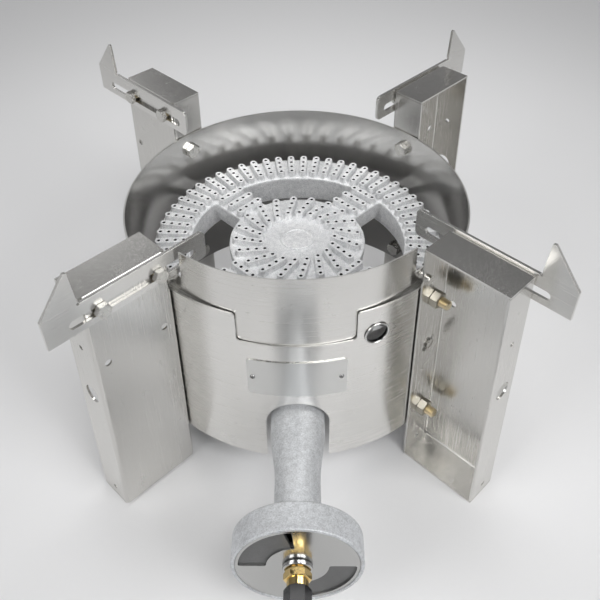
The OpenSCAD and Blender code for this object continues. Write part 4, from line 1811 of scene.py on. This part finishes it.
@dataclass(frozen=True)
class PlateScrews:
    """The two round-headed screws of the name plate, with crossed slots.

    Sizes are in millimetres, turn and smooth in degrees, and slot_turn in radians.
    """

    head: float = 2.4
    high: float = 1.5
    slot: float = 0.75
    turn: float = 13.3
    out: float = 169.9
    up: float = 155.0
    foot: float = -0.6
    bar: tuple[float, float] = (2.9, 1.9)
    bar_taper: tuple[float, float] = (0.55, 0.6)
    slot_turn: float = 0.35
    steps: int = 36
    smooth: float = 35.0

    def build(self, finish: bpy.types.Material) -> None:
        """Builds both.

        Args:
            finish: Their material.
        """
        dome = [(self.head * math.cos(a), self.high * math.sin(a)) for a in QUARTER[:-1]]
        line = [(0.0, self.foot), (self.head, self.foot), *dome, (0.0, self.high)]
        screw = profile("screw", line).spin(self.steps).clean()
        for way in (0.0, math.pi / 2):
            bar = block("bar", (self.bar[0], self.slot, self.bar[1]), (0.0, 0.0, self.high))
            bar.pick(Pick.POINTS, lambda at, normal: at.z < self.high * MM)
            bar.scale((*self.bar_taper, 1.0))
            screw.cut(bar.everything().turn(way, "Z").close())
        screw.everything().turn(self.slot_turn, "Z").turn(math.pi / 2, "Y")
        screw.move((self.out * MM, 0.0, self.up * MM))
        other = screw.copy("plate_screw_set")
        other.turn(math.radians(self.turn - 90.0), "Z").close()
        screw.open()
        screw.turn(math.radians(-self.turn - 90.0), "Z").close()
        piece = join("plate_screw_set", [other.piece, screw.piece])
        shade(piece, self.smooth)
        settle(piece, finish, "stand", "small_screw", "plate_screws")


@dataclass(frozen=True)
class SmallParts:
    """Parts too small or too plain to be worked again, which get finishes only."""

    def put(self, node: str, finish: bpy.types.Material) -> None:
        """Gives a node of the frame its finish.

        Args:
            node: Name of the node.
            finish: Its material.
        """
        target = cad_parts[node].data
        if not target.materials:
            target.materials.append(finish)
        for place in range(len(target.materials)):
            target.materials[place] = finish
        LOG.info("%s: finish %s", node, finish.name)


def dress_sheets(zinc: bpy.types.Material) -> None:
    """Builds the ring, the shield, the plate, the legs, the brackets and the shutter.

    Args:
        zinc: Material of the bright edge of the name plate.
    """
    # Edges of the ring and the shield: duller cut steel, darkened further as painted shade so
    # that they do not catch the light.
    edge = Plated("cut_edge_and_shade", (0.56, 0.555, 0.54), 0.42).make()
    # The ring's inner wall carries painted shade, darkest low down below the burner head.
    ring = BrushedSheet("ring_steel", Grain.ROUND, tone=(0.87, 0.86, 0.835), across=0.25,
                        shade_within=0.1676).make()
    shield = BrushedSheet("shield_steel", Grain.ROUND, tone=(0.83, 0.82, 0.795), across=0.25)
    plate = BrushedSheet("plate_steel", Grain.ROUND, tone=(0.76, 0.76, 0.745), across=0.25,
                         rough=0.31, streak=0.05)
    leg = BrushedSheet("leg_steel", Grain.UPRIGHT, tone=(0.71, 0.70, 0.675), pull=0.0).make()
    falling, rising = (
        BrushedSheet(f"bracket_steel_{mark}", Grain.LENGTHWAYS, turn=turn, pull=0.0).make()
        for mark, turn in (("a", -math.pi / 4), ("b", math.pi / 4))
    )
    shutter = BrushedSheet("shutter_steel", Grain.FLAT, tone=(0.56, 0.56, 0.55), pull=0.0,
                           rough=0.2)
    SheetWork(edge=edge, corner=NOTCH).work(
        "wind_ring", "wind_ring_sheet", ring, "stand", "ring_sheet"
    )
    SheetWork(edge=edge).work(
        "front_shield", "front_shield_sheet", shield.make(), "stand", "ring_sheet"
    )
    SheetWork(edge=zinc, round=0.35).work(
        "name_plate", "name_plate_sheet", plate.make(), "stand", "plate_sheet"
    )
    sheets = SheetWork()
    for place in Legs().names:
        sheets.work(f"leg_{place}", f"leg_{place}_sheet", leg, "stand", "leg_sheet")
        sheets.work(f"pot_bracket_{place}", f"pot_bracket_{place}_plate",
                    falling if place in ("front_left", "back_right") else rising,
                    f"bracket_{place}", "bracket_sheet")
    sheets.work("air_shutter", "air_shutter_sheet", shutter.make(), "shutter", "shutter_sheet")


def dress_castings() -> None:
    """Builds the burner head and the venturi."""
    # The insides of the ports are painted near-black: painted shade in the holes.
    BurnerHead().build(
        SandCast("head_alloy").make(),
        SandCast("port_bore_shade", tone=(0.04, 0.04, 0.042), grit=0.0001, rough=0.8).make(),
    )
    # The web inside the cup of the venturi carries painted shade.
    Venturi().build(
        SandCast("venturi_alloy", tone=(0.70, 0.715, 0.735), grit=0.00035, hollow=CUP_SHADE).make()
    )


def dress_fittings(zinc: bpy.types.Material) -> None:
    """Builds the bolts, the nuts, the gas inlet, the plate's screws and the small parts.

    Args:
        zinc: Material of the heads of the bolts and of the plain small parts.
    """
    yellow = Plated("yellow_zinc", (0.72, 0.62, 0.42), 0.30)
    pale = Plated("pale_zinc", (0.50, 0.475, 0.41), 0.34)
    Fasteners().build(zinc, yellow.make(), pale.make())
    black = Plated("black_oxide", (0.008, 0.008, 0.009), 0.24, 0.0, stain=(0.02, 0.016, 0.012))
    Inlet().build(
        Plated("dull_steel", (0.55, 0.55, 0.55), 0.16).make(),
        Plated("brass", (0.83, 0.62, 0.27), 0.16, stain=(0.45, 0.27, 0.10)).make(),
        black.make(),
    )
    PlateScrews().build(Plated("screw_steel", (0.36, 0.36, 0.355), 0.2).make())
    small = SmallParts()
    for node in ("shield_screws", "head_screws", "flange_bolts", "shield_spacers"):
        small.put(node, zinc)
    # The eyelet's lip is polished; inside its radius the bore carries near-black painted shade.
    lip = Plated("polished_lip_and_shade", (0.74, 0.74, 0.73), 0.2, hole_shade_within=0.1694)
    small.put("sight_eyelet", lip.make())
    small.put("flange_gasket", Plated("gasket_paper", (0.12, 0.115, 0.105), 0.8, 0.0).make())


def main() -> None:
    """Builds the scene in order."""
    logging.basicConfig(level=logging.INFO, format="%(message)s")
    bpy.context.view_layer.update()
    Studio().build()
    zinc = Plated("bright_zinc", (0.66, 0.65, 0.62), 0.27).make()
    dress_sheets(zinc)
    dress_castings()
    dress_fittings(zinc)


if __name__ == "__main__":
    main()
